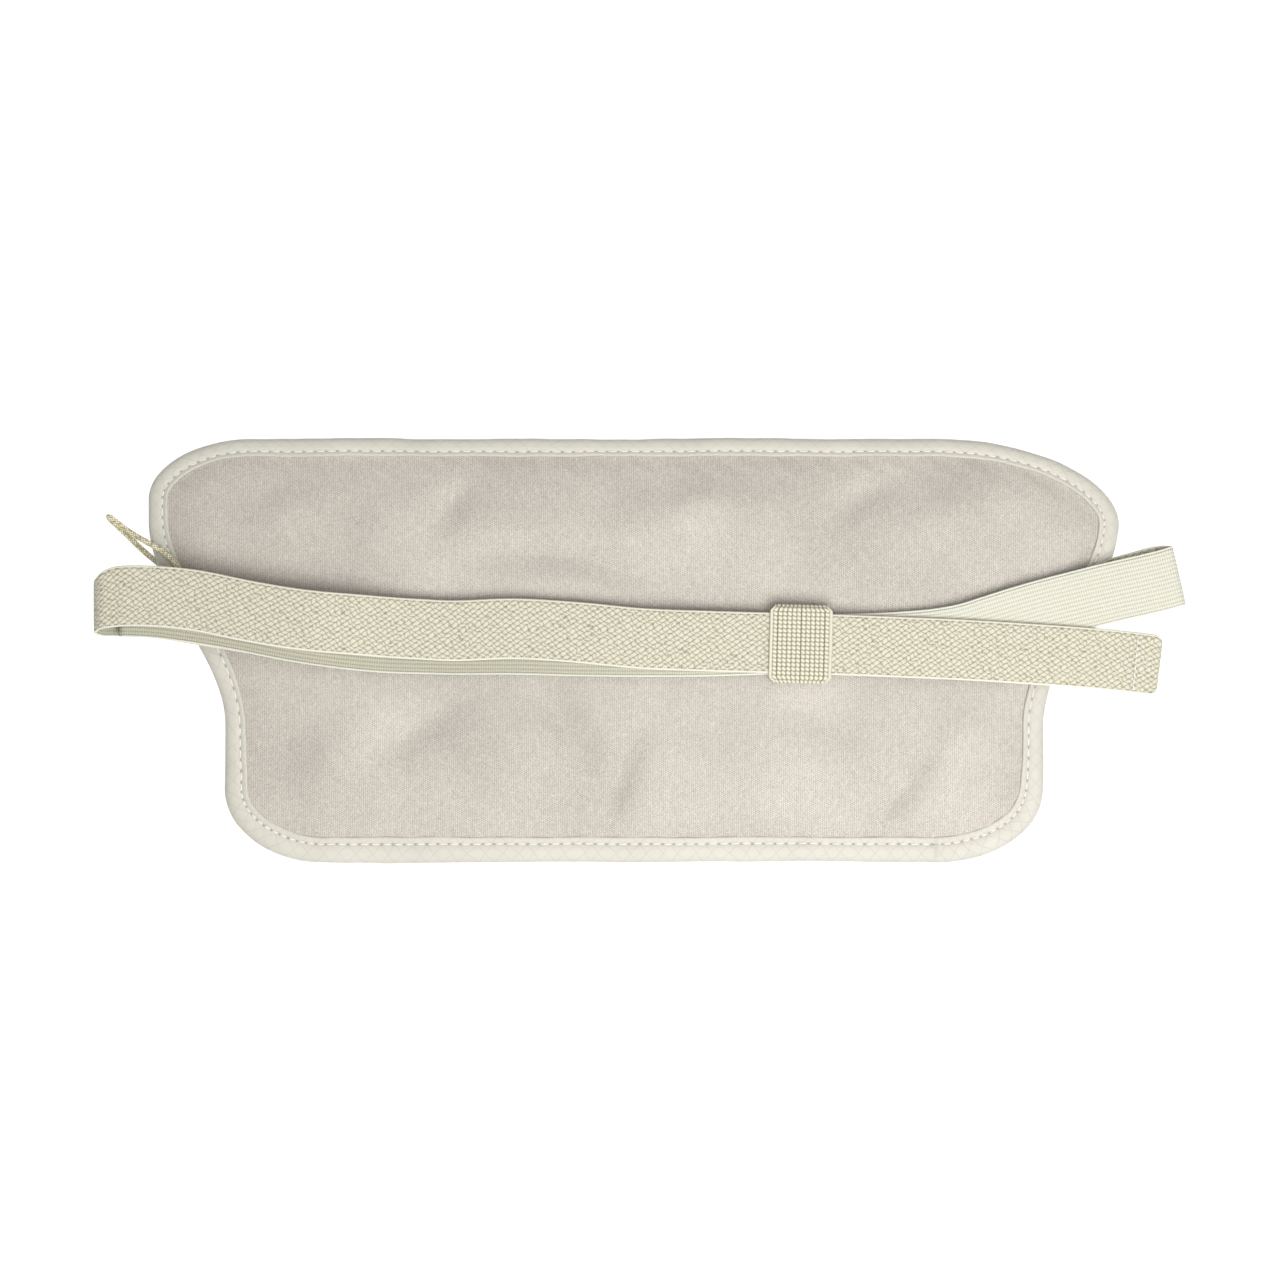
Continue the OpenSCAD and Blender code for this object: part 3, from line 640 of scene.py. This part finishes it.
def plastic_material():
    """Moulded acetal with a fine satin texture and faint flow marks."""
    paint = Paint("buckle_acetal", 0.38, IOR=1.48, Coat_Weight=0.08)
    place = paint.place()
    grain = paint.noise(place, 2600, 3)
    flow = paint.noise(place, (60, 260, 60), 3)
    colour = paint.shade(flow, 0.3, 0.75, (0.485, 0.44, 0.345), (0.53, 0.485, 0.385))
    return paint.finish(colour, grain, 0.03, 0.35)


def floor_material():
    """The white sheet of a light table, which shines as brightly as its surroundings."""
    paint = Paint("light_table", 0.95, Emission_Strength=0.9)
    fibre = paint.noise(paint.place(), 30, 2)
    colour = paint.shade(fibre, 0.2, 0.8, (0.30, 0.30, 0.30), (0.31, 0.31, 0.31))
    paint.shader.inputs["Emission Color"].default_value = (1, 1, 1, 1)
    return paint.finish(colour)


# ---- Pieces: pouch ----

# Soft billows in the back cloth: x, y, direction of the crease in degrees, length, width, share of BILLOW_H
BILLOW_H = 3.4
BILLOWS = [
    (-74, -26, 35, 30, 11, -0.9), (-26, -20, -50, 34, 10, -1.0), (-45, -42, -62, 42, 12, 0.7),
    (-8, -46, 78, 40, 7, -0.7), (30, -40, -35, 45, 14, 0.6), (82, -46, 58, 34, 9, -1.0),
    (100, -30, 50, 30, 12, 0.8), (58, -22, -20, 30, 10, -0.7), (73, 52, 40, 30, 9, -0.9),
    (92, 40, 35, 30, 12, 0.6), (-60, 48, 62, 26, 8, -0.7), (-110, 44, 50, 30, 14, 0.5),
    (10, 44, 15, 50, 14, 0.6), (-20, 30, -12, 60, 9, -0.8), (-100, -40, 70, 36, 12, 0.5),
    (118, 38, -60, 24, 10, -0.6), (-92, 30, -35, 30, 10, -0.5),
]


def billow_height(x, y):
    """Height of the back cloth's soft folds, less under the strap, which presses on it."""
    bend, strap_y, strap_reach, pressed = 0.006, 4, 17, 0.5
    folds = np.zeros_like(x)
    for at_x, at_y, direction, length, width, tall in BILLOWS:
        turn = math.radians(direction)
        along = (x - at_x) * math.cos(turn) + (y - at_y) * math.sin(turn)
        across = (y - at_y) * math.cos(turn) - (x - at_x) * math.sin(turn)
        across = across + bend * along**2
        folds += tall * np.exp(-((along / length * 2) ** 2) - (across / width * 1.5) ** 2)
    height = BILLOW_H * folds + 2.0 * perlin(x, 0.7 * y, 34, 1)
    height += 0.55 * perlin(x, y, 13, 2)
    under_strap = np.exp(-(((y - strap_y) / strap_reach) ** 4))
    return height - under_strap * (np.maximum(height, 0) + pressed)


def cloth_piece(name, x, y, z, keep=None, thickness=CLOTH_T):
    """An open grid of cloth, without the quads where keep is False; Solidify then gives it its thickness."""
    points = np.stack([x, y, z], axis=-1).reshape(-1, 3)
    faces = grid_faces(*x.shape)
    if keep is not None:
        faces = faces[keep[faces].all(axis=1)]
        used = np.unique(faces)
        number = np.zeros(len(points), int)
        number[used] = np.arange(len(used))
        points, faces = points[used], number[faces]
    piece = new_piece(name, points, faces, closed=False)
    thick = piece.modifiers.new("thickness", "SOLIDIFY")
    thick.thickness = thickness * MM
    thick.offset = 0
    thick.use_even_offset = False
    return piece


# How far the two panels lie from the binding's middle where they are sewn into it
SEWN_LIFT = 0.55


def make_back_panel():
    """The cloth swells up from the binding, with billows in its middle and small puckers along the seam."""
    edge_z = BINDING_Z + SEWN_LIFT
    swell_reach, billow_reach = 30, 16
    pucker_inset, pucker_reach, pucker_h, pucker_step = 9, 4, 0.16, 1.9
    x, y = panel_grid(RIM_HIDDEN, 190, 96)
    inset = inset_at(x, y)
    near_seam = np.exp(-(((inset - pucker_inset) / pucker_reach) ** 2))
    pucker = pucker_h * near_seam * np.sin((x + 1.3 * y) / pucker_step)
    z = edge_z + (BACK_Z - edge_z) * rise(inset, RIM_SHOWN, swell_reach)
    z = z + billow_height(x, y) * smooth_step((inset - RIM_SHOWN) / billow_reach) + pucker
    return cloth_piece("back_panel_cloth", x, y, z)


def slot_edges(zip_name):
    """Left, right, lower and upper edge of a zip's slot in the front panel."""
    low, high = ZIPS[zip_name]
    middle = (low[1] + high[1]) / 2
    return low[0] + TAPE_OVERLAP, high[0] - TAPE_OVERLAP, middle - SLOT_HALF_W, middle + SLOT_HALF_W


def make_front_panel():
    """The cloth under the zips: nearly flat, rippled away from them, and cut out in front of each coil."""
    edge_z = BINDING_Z - SEWN_LIFT
    swell_reach, flat_reach, ripple_h, cut_in = 12, 3, 0.25, 0.3
    slots = [slot_edges(name) for name in ZIPS]
    more_x = [edge for slot in slots for edge in slot[:2]]
    more_y = [edge for slot in slots for edge in slot[2:]]
    x, y = panel_grid(RIM_HIDDEN, 150, 76, more_x, more_y)
    z = edge_z - (edge_z - FRONT_Z) * rise(inset_at(x, y), RIM_SHOWN, swell_reach)
    near_slot = np.zeros_like(x)
    keep = np.ones(x.size, bool)
    for left, right, low_y, high_y in slots:
        away = np.maximum(np.maximum(left - x, x - right), np.maximum(low_y - y, y - high_y))
        near_slot = np.maximum(near_slot, 1 - smooth_step(away / flat_reach))
        keep &= (away > -cut_in).ravel()
    ripple = ripple_h * (1 + perlin(x, y, 22, 4)) * (1 - near_slot)
    return cloth_piece("front_panel_cloth", x, y, z + ripple, keep)


def make_lining():
    """The thin divider between the two compartments, which ends short of the pouch's top."""
    top_gap, below, ripple_h = 0.4, 0.2, 0.25
    high = box_mm("inner_divider")[1]
    x, y = panel_grid(RIM_HIDDEN, 90, 44, high_y=high[1] - top_gap)
    z = high[2] - below + ripple_h * perlin(x, y, 18, 6) * smooth_step(inset_at(x, y) / 16 - 0.4)
    return cloth_piece("divider_lining", x, y, z, thickness=LINING_T)


# The binding's section, counter-clockwise from its outer edge: [inset, height above the middle]
BINDING_SECTION = [
    (0.0, 0.0), (0.2, 0.8), (0.8, 1.35), (1.8, 1.68), (3.2, 1.8), (4.1, 1.76), (4.5, 1.62), (4.8, 1.5),
    (5.1, 1.62), (5.6, 1.84), (6.2, 1.95), (6.55, 1.86), (6.7, 1.55), (6.6, 1.2), (6.3, 1.0), (5.0, 0.95),
    (3.4, 0.9), (3.4, -0.9), (5.0, -0.95), (6.4, -1.0), (6.7, -1.2), (6.65, -1.55), (6.2, -1.72),
    (5.4, -1.7), (4.8, -1.42), (4.2, -1.6), (3.2, -1.74), (1.8, -1.66), (0.8, -1.35), (0.2, -0.8),
]
BINDING_W, BINDING_TOP_W, BINDING_BOTTOM_W = 6.7, 5.7, 8.3
SEAM_INSET, SEAM_HEIGHT = 4.8, 1.52


def binding_share(line):
    """How wide the binding is folded at each point of the outline, as a share of BINDING_W."""
    toward_top = smooth_step((line[:, 1] / HALF_H - 0.5) / 0.5)
    toward_bottom = smooth_step((-line[:, 1] / HALF_H - 0.35) / 0.6)
    wider = (BINDING_TOP_W - BINDING_W) * toward_top + (BINDING_BOTTOM_W - BINDING_W) * toward_bottom
    return (BINDING_W + wider) / BINDING_W


def binding_wave(line, inset):
    """How far in the binding wanders at each point of the outline, outside and at its inner edge."""
    x, y = line.T
    outer = 0.55 * perlin(x, y, 34, 7) + 0.2 * perlin(x, y, 9, 8)
    inner = 0.4 * perlin(x, y, 15, 9) + 0.15 * perlin(x, y, 6, 10)
    share = smooth_step((inset - 3) / 3)
    return 0.25 + outer * (1 - share) + inner * share


def edge_rings(section, spacing):
    """A section swept round the outline, with its woven coordinates and how far round each of its rings lies.
    Each point of the section follows the outline at its own inset."""
    under_shift = 3
    line, at = outline_line(0, spacing)
    ahead = closed_directions(line)
    inward = np.stack([-ahead[:, 1], ahead[:, 0]], axis=1)
    lift = 0.12 * perlin(line[:, 0], line[:, 1], 16, 11)
    rings = []
    for inset, height in section:
        drawn_in = inset * binding_share(line) + binding_wave(line, inset)
        place = line + inward * drawn_in[:, None]
        rings.append(np.column_stack([place, BINDING_Z + height + lift * np.sign(height)]))
    insets, heights = np.array(section).T
    weave = woven((len(at), len(section)), at[:, None], insets + under_shift * (heights < 0), insets)
    return np.stack(rings, axis=1), weave, at


def make_binding():
    rings, weave, _ = edge_rings(BINDING_SECTION, 1.3)
    points, faces = skin(rings, closed_line=True)
    return new_piece("binding_tape_edge", points, faces, weave=weave)


def make_binding_stitches():
    """The seam through the binding, as a row of stitches on its upper face and one on its lower face."""
    solids = []
    for side in (1, -1):
        rings, _, at = edge_rings([(SEAM_INSET, side * SEAM_HEIGHT)], 0.9)
        row = evenly(rings[:, 0], at, STITCH_PITCH, STITCH_LEN)
        solids.append(thread_stitches(row, up=(0, 0, side)))
    return new_piece("binding_stitches", *joined(solids))


# ---- Pieces: zips, on the front ----


def make_zip_tapes(zip_name):
    """Two woven tapes, each with a firm outer edge and a cord that the coil is sewn on."""
    low, high = ZIPS[zip_name]
    middle = (low[1] + high[1]) / 2
    z = (low[2] + high[2]) / 2
    half_w = (high[1] - low[1]) / 2
    x = np.linspace(low[0], high[0], 140)
    # Its upper face, from the coil outward: [distance from the zip's middle, height]
    upper = [(1.1, 0.16), (1.9, 0.2), (2.6, 0.16), (2.9, 0.11), (5.5, 0.11), (half_w - 0.9, 0.11),
             (half_w - 0.5, 0.18), (half_w, 0.12)]
    away, height = np.array(upper + [(away, -height) for away, height in reversed(upper)]).T
    solids = []
    for side in (1, -1):
        rings = np.broadcast_arrays(x[:, None], middle + side * away, z + height)
        solids.append(skin(np.stack(rings, axis=-1)))
    return new_piece(f"{zip_name}_zip_tape_pair", *joined(solids))


def make_zip_coil(zip_name):
    """Two flattened coils of nylon whose turns lie between each other's."""
    low, high = box_mm(f"{zip_name}_zip_coil")
    middle_y, middle_z = (low[1] + high[1]) / 2, (low[2] + high[2]) / 2
    pitch, wire_r, sides, per_turn = 1.25, 0.2, 5, 10
    away, half_w, half_h, end_gap = 1.18, 0.6, 0.29, 0.5
    turns = int((high[0] - low[0] - 2 * end_gap) / pitch)
    angle = 2 * math.pi * np.arange(turns * per_turn + 1) / per_turn
    solids = []
    for side in (1, -1):
        shift = 0.25 if side < 0 else 0
        x = low[0] + end_gap + pitch * (angle / (2 * math.pi) + shift)
        y = middle_y + side * (away + half_w * np.cos(angle))
        z = middle_z + half_h * np.sin(angle)
        line = np.column_stack([x, y, z])
        ahead = directions(line)
        across = unit(np.cross(ahead, [1, 0, 0]))
        solids.append(skin(tube(line, across, np.cross(ahead, across), wire_r, sides)))
    return new_piece(f"{zip_name}_zip_coil_pair", *joined(solids))


def make_slot_stitches():
    """Two rows of stitches beside each zip, through the front panel's folded edges."""
    row_gap, row_z, thread_r = 1.6, 0.32, 0.14
    stitches = []
    for name in ZIPS:
        left, right, low_y, high_y = slot_edges(name)
        for y in (low_y - row_gap, high_y + row_gap):
            for x in np.arange(left, right - STITCH_LEN, STITCH_PITCH):
                stitches.append(((x, y, row_z), (x + STITCH_LEN, y, row_z)))
    return new_piece("zip_stitches", *thread_stitches(stitches, up=(0, 0, -1), radius=thread_r))


# ---- Pieces: straps ----


def strap_section(width):
    """Across a strap: places, and its half thicknesses on its pebbled face and on its ribbed face."""
    half = width / 2
    rib_h, pebble_room, edge_w = 0.14, 0.05, 1.0
    edge = np.array([0, 0.1, 0.28, 0.46, 0.65])
    edge_height = np.array([0.2, 0.38, 0.47, 0.42, 0.32])
    first = half - edge_w
    body = np.linspace(-first, first, 3 * round(2 * first / RIB_PITCH) + 1)
    rib = rib_h * np.abs(np.sin(math.pi * body / RIB_PITCH))
    across = np.concatenate([edge - half, body, half - edge[::-1]])
    pebbled = np.concatenate([edge_height, np.full(len(body), STRAP_T / 2 - pebble_room), edge_height[::-1]])
    ribbed = np.concatenate([edge_height, STRAP_T / 2 - rib_h + rib, edge_height[::-1]])
    return across, pebbled, ribbed


def pulled_in(x):
    """How far the strap's upper edge draws in where it turns round its left end."""
    start_x, reach, draw = -166, 8.6, 3.2
    return draw * np.clip((start_x - x) / reach, 0, 1) ** 2.2


def hem_corner(line):
    """How far both edges draw in at the corners of the folded free end."""
    end_x, corner_len, corner_w = 165.6, 2.6, 1.5
    near = np.clip((line[:, 0] - (end_x - corner_len)) / corner_len, 0, 1) * (line[:, 1] < 0)
    return corner_w * (1 - np.sqrt(np.clip(1 - near**2, 0, 1)))


def make_strap(name, stops, spacing, width):
    """A strap that follows a route of [x, y, z, yaw] with its woven coordinates, and its length."""
    line, travel = smooth_line(stops, spacing)
    yaw = np.radians(line[:, 3])
    sideways = np.column_stack([-np.sin(yaw), np.cos(yaw), np.zeros(len(yaw))])
    up = unit(np.cross(directions(line[:, :3]), sideways))
    across, pebbled, ribbed = strap_section(width)
    ring_across = np.concatenate([across, across[::-1]])
    ring_height = np.concatenate([pebbled, -ribbed[::-1]])
    pull = pulled_in(line[:, 0])[:, None]
    narrow = 1 - (pull + 2 * hem_corner(line)[:, None]) / width
    placed = (ring_across * narrow - pull / 2)[..., None]
    rings = line[:, None, :3] + placed * sideways[:, None] + ring_height[:, None] * up[:, None]
    shape = (len(line), len(ring_across))
    weave = woven(shape, travel[:, None], ring_across, width / 2 - np.abs(ring_across))
    side = np.broadcast_to(ring_height > 0, shape)
    return new_piece(name, *skin(rings), weave=weave, side=side), travel[-1]


def make_waist_strap():
    """The folded strap, with its points close together where it turns."""
    routes = [
        (ROOT_ROUTE, 0.5), (LOWER_ROUTE, 2.4), (TURNS_ROUTE, 0.45), (UPPER_ROUTE, 2.4), (HEM_ROUTE, 0.5),
    ]
    stops = [stop for route, _ in routes for stop in route]
    spacing = [step for route, step in routes for _ in route]
    return make_strap("waist_strap", stops, spacing, STRAP_W)


def make_hem_stitches():
    """One row across the strap's end, near the edge of its folded layer."""
    start = np.array([158.2, -3.85, 10.85])
    yaw, pitch, length, thread_r = math.radians(-6), 2.1, 1.8, 0.24
    side = np.array([-math.sin(yaw), math.cos(yaw), 0])
    stitches = []
    for across in np.arange(-STRAP_W / 2 + 0.9, STRAP_W / 2 - 2, pitch):
        stitches.append((start + side * across, start + side * (across + length)))
    return new_piece("hem_stitches", *thread_stitches(stitches, radius=thread_r))


# Each bar tack: [x, y, z, yaw, half its width, reach of its zigzag]
BAR_TACKS = [(149.5, 18.8, 7.0, 15, 7, 1.6), (-147.0, 11.4, 7.05, -9.5, 6, 0.8)]


def make_bar_tacks():
    """Dense zigzags that sew the straps down on the binding."""
    step, thread_r = 0.42, 0.15
    stitches = []
    for x, y, z, yaw, half_w, reach in BAR_TACKS:
        turn = math.radians(yaw)
        side = np.array([-math.sin(turn), math.cos(turn), 0])
        ahead = np.array([math.cos(turn), math.sin(turn), 0])
        for number, across in enumerate(np.arange(-half_w, half_w, step)):
            flip = 1 if number % 2 else -1
            start = np.array([x, y, z]) + side * across + ahead * flip * reach / 2
            stitches.append((start, start + side * step - ahead * flip * reach))
    return new_piece("bar_tack_zigzags", *thread_stitches(stitches, radius=thread_r, sides=5))


def keeper_line(low_z, high_z):
    """The keeper's rounded loop as closed points of [across the strap, z], and how far along it each lies."""
    turn_r, turn_steps = 1.4, 7
    half_w = KEEPER_W / 2 - KEEPER_HALF_T
    corners = [(half_w, high_z, 0), (-half_w, high_z, 90), (-half_w, low_z, 180), (half_w, low_z, 270)]
    loop = []
    for v, z, start in corners:
        middle = np.array([v - math.copysign(turn_r, v), z - turn_r if z == high_z else z + turn_r])
        for turn in np.radians(np.linspace(start, start + 90, turn_steps)):
            loop.append(middle + turn_r * np.array([math.cos(turn), math.sin(turn)]))
    loop = np.array(loop + loop[:1])
    return loop, travel_along(loop)


def keeper_relief(across, row):
    """Height of the keeper's outer face over its middle, and how light it is painted there, with painted
    shade low between the cords and beads: beaded cords between two smooth selvedges. row counts the rows of
    beads round the loop."""
    selvedge_r, cords_start, cords_fade, bead_slant = 0.42, 0.8, 0.3, 0.1
    from_edge = KEEPER_LEN / 2 - np.abs(across)
    in_cords = smooth_step((from_edge - cords_start) / cords_fade)
    from_first = across + KEEPER_CORDS * KEEPER_CORD_PITCH / 2
    cord = np.abs(np.sin(math.pi * from_first / KEEPER_CORD_PITCH)) ** 0.6
    selvedge = np.sqrt(np.clip(1 - ((from_edge - selvedge_r) / selvedge_r) ** 2, 0, 1))
    slant = bead_slant * np.sin(2 * math.pi * across / KEEPER_CORD_PITCH)
    bead = np.abs(np.sin(math.pi * (row[:, None] + slant[None, :]))) ** 0.7
    height = 0.08 + in_cords * (0.1 + 0.42 * cord * bead) + (1 - in_cords) * 0.3 * selvedge
    return height, in_cords * cord * bead + (1 - in_cords) * 0.7


def make_keeper():
    """Loop of heavy corded elastic. Its cords run round the loop, and its corners pull in where it turns."""
    per_row, per_cord = 5, 7
    inner_h, corner_pull, pull_start, pull_reach = 0.3, 1.35, KEEPER_W / 2 - 2.0, 1.6
    low, high = box_mm("keeper_loop")
    loop, travel = keeper_line(low[2] + KEEPER_HALF_T, high[2] - KEEPER_HALF_T)
    rows = round(travel[-1] / KEEPER_ROW_PITCH)
    at = np.linspace(0, travel[-1], rows * per_row + 1)[:-1]
    path = points_at(loop, travel, at)
    ahead = closed_directions(path)
    outward = np.stack([ahead[:, 1], -ahead[:, 0]], axis=1)
    across = np.linspace(-KEEPER_LEN / 2, KEEPER_LEN / 2, KEEPER_CORDS * per_cord + 5)
    outer, lightness_with_painted_shade = keeper_relief(across, at / travel[-1] * rows)
    inner = np.full_like(outer, inner_h)
    pull = corner_pull * smooth_step((np.abs(path[:, 0]) - pull_start) / pull_reach)
    squeeze = 1 - pull / (KEEPER_LEN / 2)
    ring_across = np.concatenate([across, across[::-1]])
    u = ring_across * squeeze[:, None]
    height = np.concatenate([outer, -inner], axis=1)
    v = path[:, 0, None] + outward[:, 0, None] * height
    z = path[:, 1, None] + outward[:, 1, None] * height
    yaw = math.radians(KEEPER_YAW)
    x = (low[0] + high[0]) / 2 + u * math.cos(yaw) - v * math.sin(yaw)
    y = (low[1] + high[1]) / 2 + u * math.sin(yaw) + v * math.cos(yaw)
    weave = woven(x.shape, at[:, None], ring_across, KEEPER_LEN / 2 - np.abs(ring_across))
    points, faces = skin(np.stack([x, y, z], axis=-1), closed_line=True)
    # side carries the outer face's lightness with its painted shade, and inner_h as the inner face's
    # lightness.
    side = np.concatenate([lightness_with_painted_shade, inner], axis=1)
    return new_piece("keeper_elastic", points, faces, weave=weave, side=side), travel[-1]


def keeper_material():
    """Heavy corded elastic with painted shade between the cords; the mesh itself has the cords."""
    paint = Paint("keeper_elastic_cords", 0.85, Sheen_Weight=0.2)
    # The stored lightness is low between the cords and beads, so the dark colour there is painted shade.
    height = paint.stored("side", "Fac")
    yarn = paint.noise(paint.stored("weave"), (1400, 2600, 0), 2)
    tone = paint.weighted(height, 0.9, yarn, 0.3)
    colour = paint.shade(tone, 0.1, 0.95, (0.10, 0.095, 0.06), (0.55, 0.525, 0.41))
    return paint.finish(colour, yarn, 0.12, 0.5)


# ---- Pieces: cord and buckle ----


def make_cord():
    """The braided cord: a tube with raised yarns, its path, and its length."""
    sides, groove, yarn_h = 16, 0.02, 0.06
    line, travel = smooth_line(CORD_ROUTE, 0.3)
    ahead = directions(line)
    side = unit(np.cross(ahead, [0.05, -0.1, 1]))
    strand = BRAID_STRANDS * 2 * math.pi * np.arange(sides) / sides
    phase = travel[:, None] * math.pi / BRAID_PITCH
    braid = np.abs(np.sin(phase + strand)) * np.abs(np.sin(phase - strand))
    radius = CORD_D / 2 - groove + yarn_h * braid
    weave = woven(radius.shape, travel[:, None], strand / math.pi, 0)
    points, faces = skin(tube(line, side, np.cross(side, ahead), radius, sides))
    return new_piece("cord_braid", points, faces, weave=weave), line, travel[-1]


def dress_cad_node(name, material, edge=0.0):
    """Gives a kept CAD node its material, and softens its edges by that many millimetres."""
    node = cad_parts[name]
    node.data.materials.clear()
    node.data.materials.append(material)
    if edge:
        bevel = node.modifiers.new("edge", "BEVEL")
        bevel.width = edge * MM
        bevel.segments = 3
        bevel.limit_method = "ANGLE"
        bevel.angle_limit = math.radians(40)
        bevel.harden_normals = True


# ---- Assembly ----

knit = knit_material("pouch_knit", (0.245, 0.225, 0.196), (0.545, 0.507, 0.449))
lining = knit_material("divider_cloth", (0.50, 0.49, 0.46), (0.62, 0.61, 0.58))
# The elastic's dark colour is the painted shade in the weave's gaps; its light colour is the yarn's own.
elastic = elastic_material("waist_elastic", (0.14, 0.132, 0.088), (0.495, 0.47, 0.37))
thread = thread_material()
metal = metal_material()
plastic = plastic_material()
binding = binding_material()
tape = tape_material()
coil = coil_material()

back_panel = finish_piece(make_back_panel(), knit, replaces=["back_panel"])
front_panel = finish_piece(make_front_panel(), knit, replaces=["front_panel"])
divider = finish_piece(make_lining(), lining, replaces=["inner_divider"])

edge = finish_piece(make_binding(), binding, replaces=["edge_binding"])
edge_stitches = finish_piece(make_binding_stitches(), thread)

STOP_EDGE, SLIDER_EDGE, BUCKLE_EDGE = 0.15, 0.08, 0.35
for zip_name in ZIPS:
    tapes = finish_piece(make_zip_tapes(zip_name), tape, replaces=[f"{zip_name}_zip_tapes"])
    finish_piece(make_zip_coil(zip_name), coil, replaces=[f"{zip_name}_zip_coil"])
    dress_cad_node(f"{zip_name}_zip_stops", metal, STOP_EDGE)
finish_piece(make_slot_stitches(), thread)
for name in ("main_slider", "pocket_slider", "main_pull_tab"):
    dress_cad_node(name, metal, SLIDER_EDGE)
dress_cad_node("main_pull_pin", metal)

strap, strap_length = make_waist_strap()
strap_nodes = ["strap_root_fold", "strap_lower_run", "strap_left_turns", "strap_upper_run", "strap_hem"]
finish_piece(strap, elastic, replaces=strap_nodes)
hem_stitches = finish_piece(make_hem_stitches(), thread)

short_strap, short_length = make_strap("buckle_strap", SHORT_ROUTE, 0.6, SHORT_STRAP_W)
finish_piece(short_strap, elastic, replaces=["short_strap"])
finish_piece(make_bar_tacks(), thread, replaces=["strap_bar_tacks"])

keeper, keeper_length = make_keeper()
finish_piece(keeper, keeper_material(), body="keeper", replaces=["keeper_loop"])

cord, cord_path, cord_length = make_cord()
finish_piece(cord, cord_material(), body="pocket_zip_slider", replaces=["pull_cord"])
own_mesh(cord)

for name in ("buckle_socket", "buckle_plug", "prong_upper", "prong_lower"):
    dress_cad_node(name, plastic, BUCKLE_EDGE)


# ---- Floor, light and camera ----


def make_floor():
    """A wide white sheet under everything, which belongs to the picture and not to the object."""
    half = 3000
    corners = [(-half, -half, 0), (half, -half, 0), (half, half, 0), (-half, half, 0)]
    floor = new_piece("floor", corners, [(0, 1, 2, 3)], closed=False)
    floor.data.materials.append(floor_material())


def make_light(name, place, size, power):
    """A round lamp of that size, which points at the frame's origin."""
    data = bpy.data.lights.new(name, "AREA")
    data.shape = "DISK"
    data.size = size
    data.energy = power
    light = add_object(name, data)
    light.location = place
    light.rotation_euler = (-Vector(place)).to_track_quat("-Z", "Y").to_euler()


def make_world(strength):
    """Even white light from all round."""
    world = bpy.data.worlds.new("studio")
    world.use_nodes = True
    background = world.node_tree.nodes["Background"]
    background.inputs["Color"].default_value = (1, 1, 1, 1)
    background.inputs["Strength"].default_value = strength
    bpy.context.scene.world = world


def make_camera():
    """Straight above the pouch, far off, so that the view is nearly flat."""
    middle = (-0.0003, 0.0034, 0.009)
    distance, view_width = 2.0, 0.4096
    data = bpy.data.cameras.new("camera")
    data.sensor_width = 36
    data.lens = data.sensor_width * distance / view_width
    data.clip_start = 0.05
    data.clip_end = 20
    camera = add_object("camera", data)
    camera.location = Vector(middle) + Vector((0, 0, distance))
    bpy.context.scene.camera = camera


make_floor()
make_world(0.46)
make_light("key", place=(0.18, -0.3, 0.66), size=0.6, power=7.6)
make_light("fill", place=(0.1, 0.1, 1.5), size=1.5, power=8.5)
make_camera()
bpy.context.scene.view_settings.view_transform = "Standard"
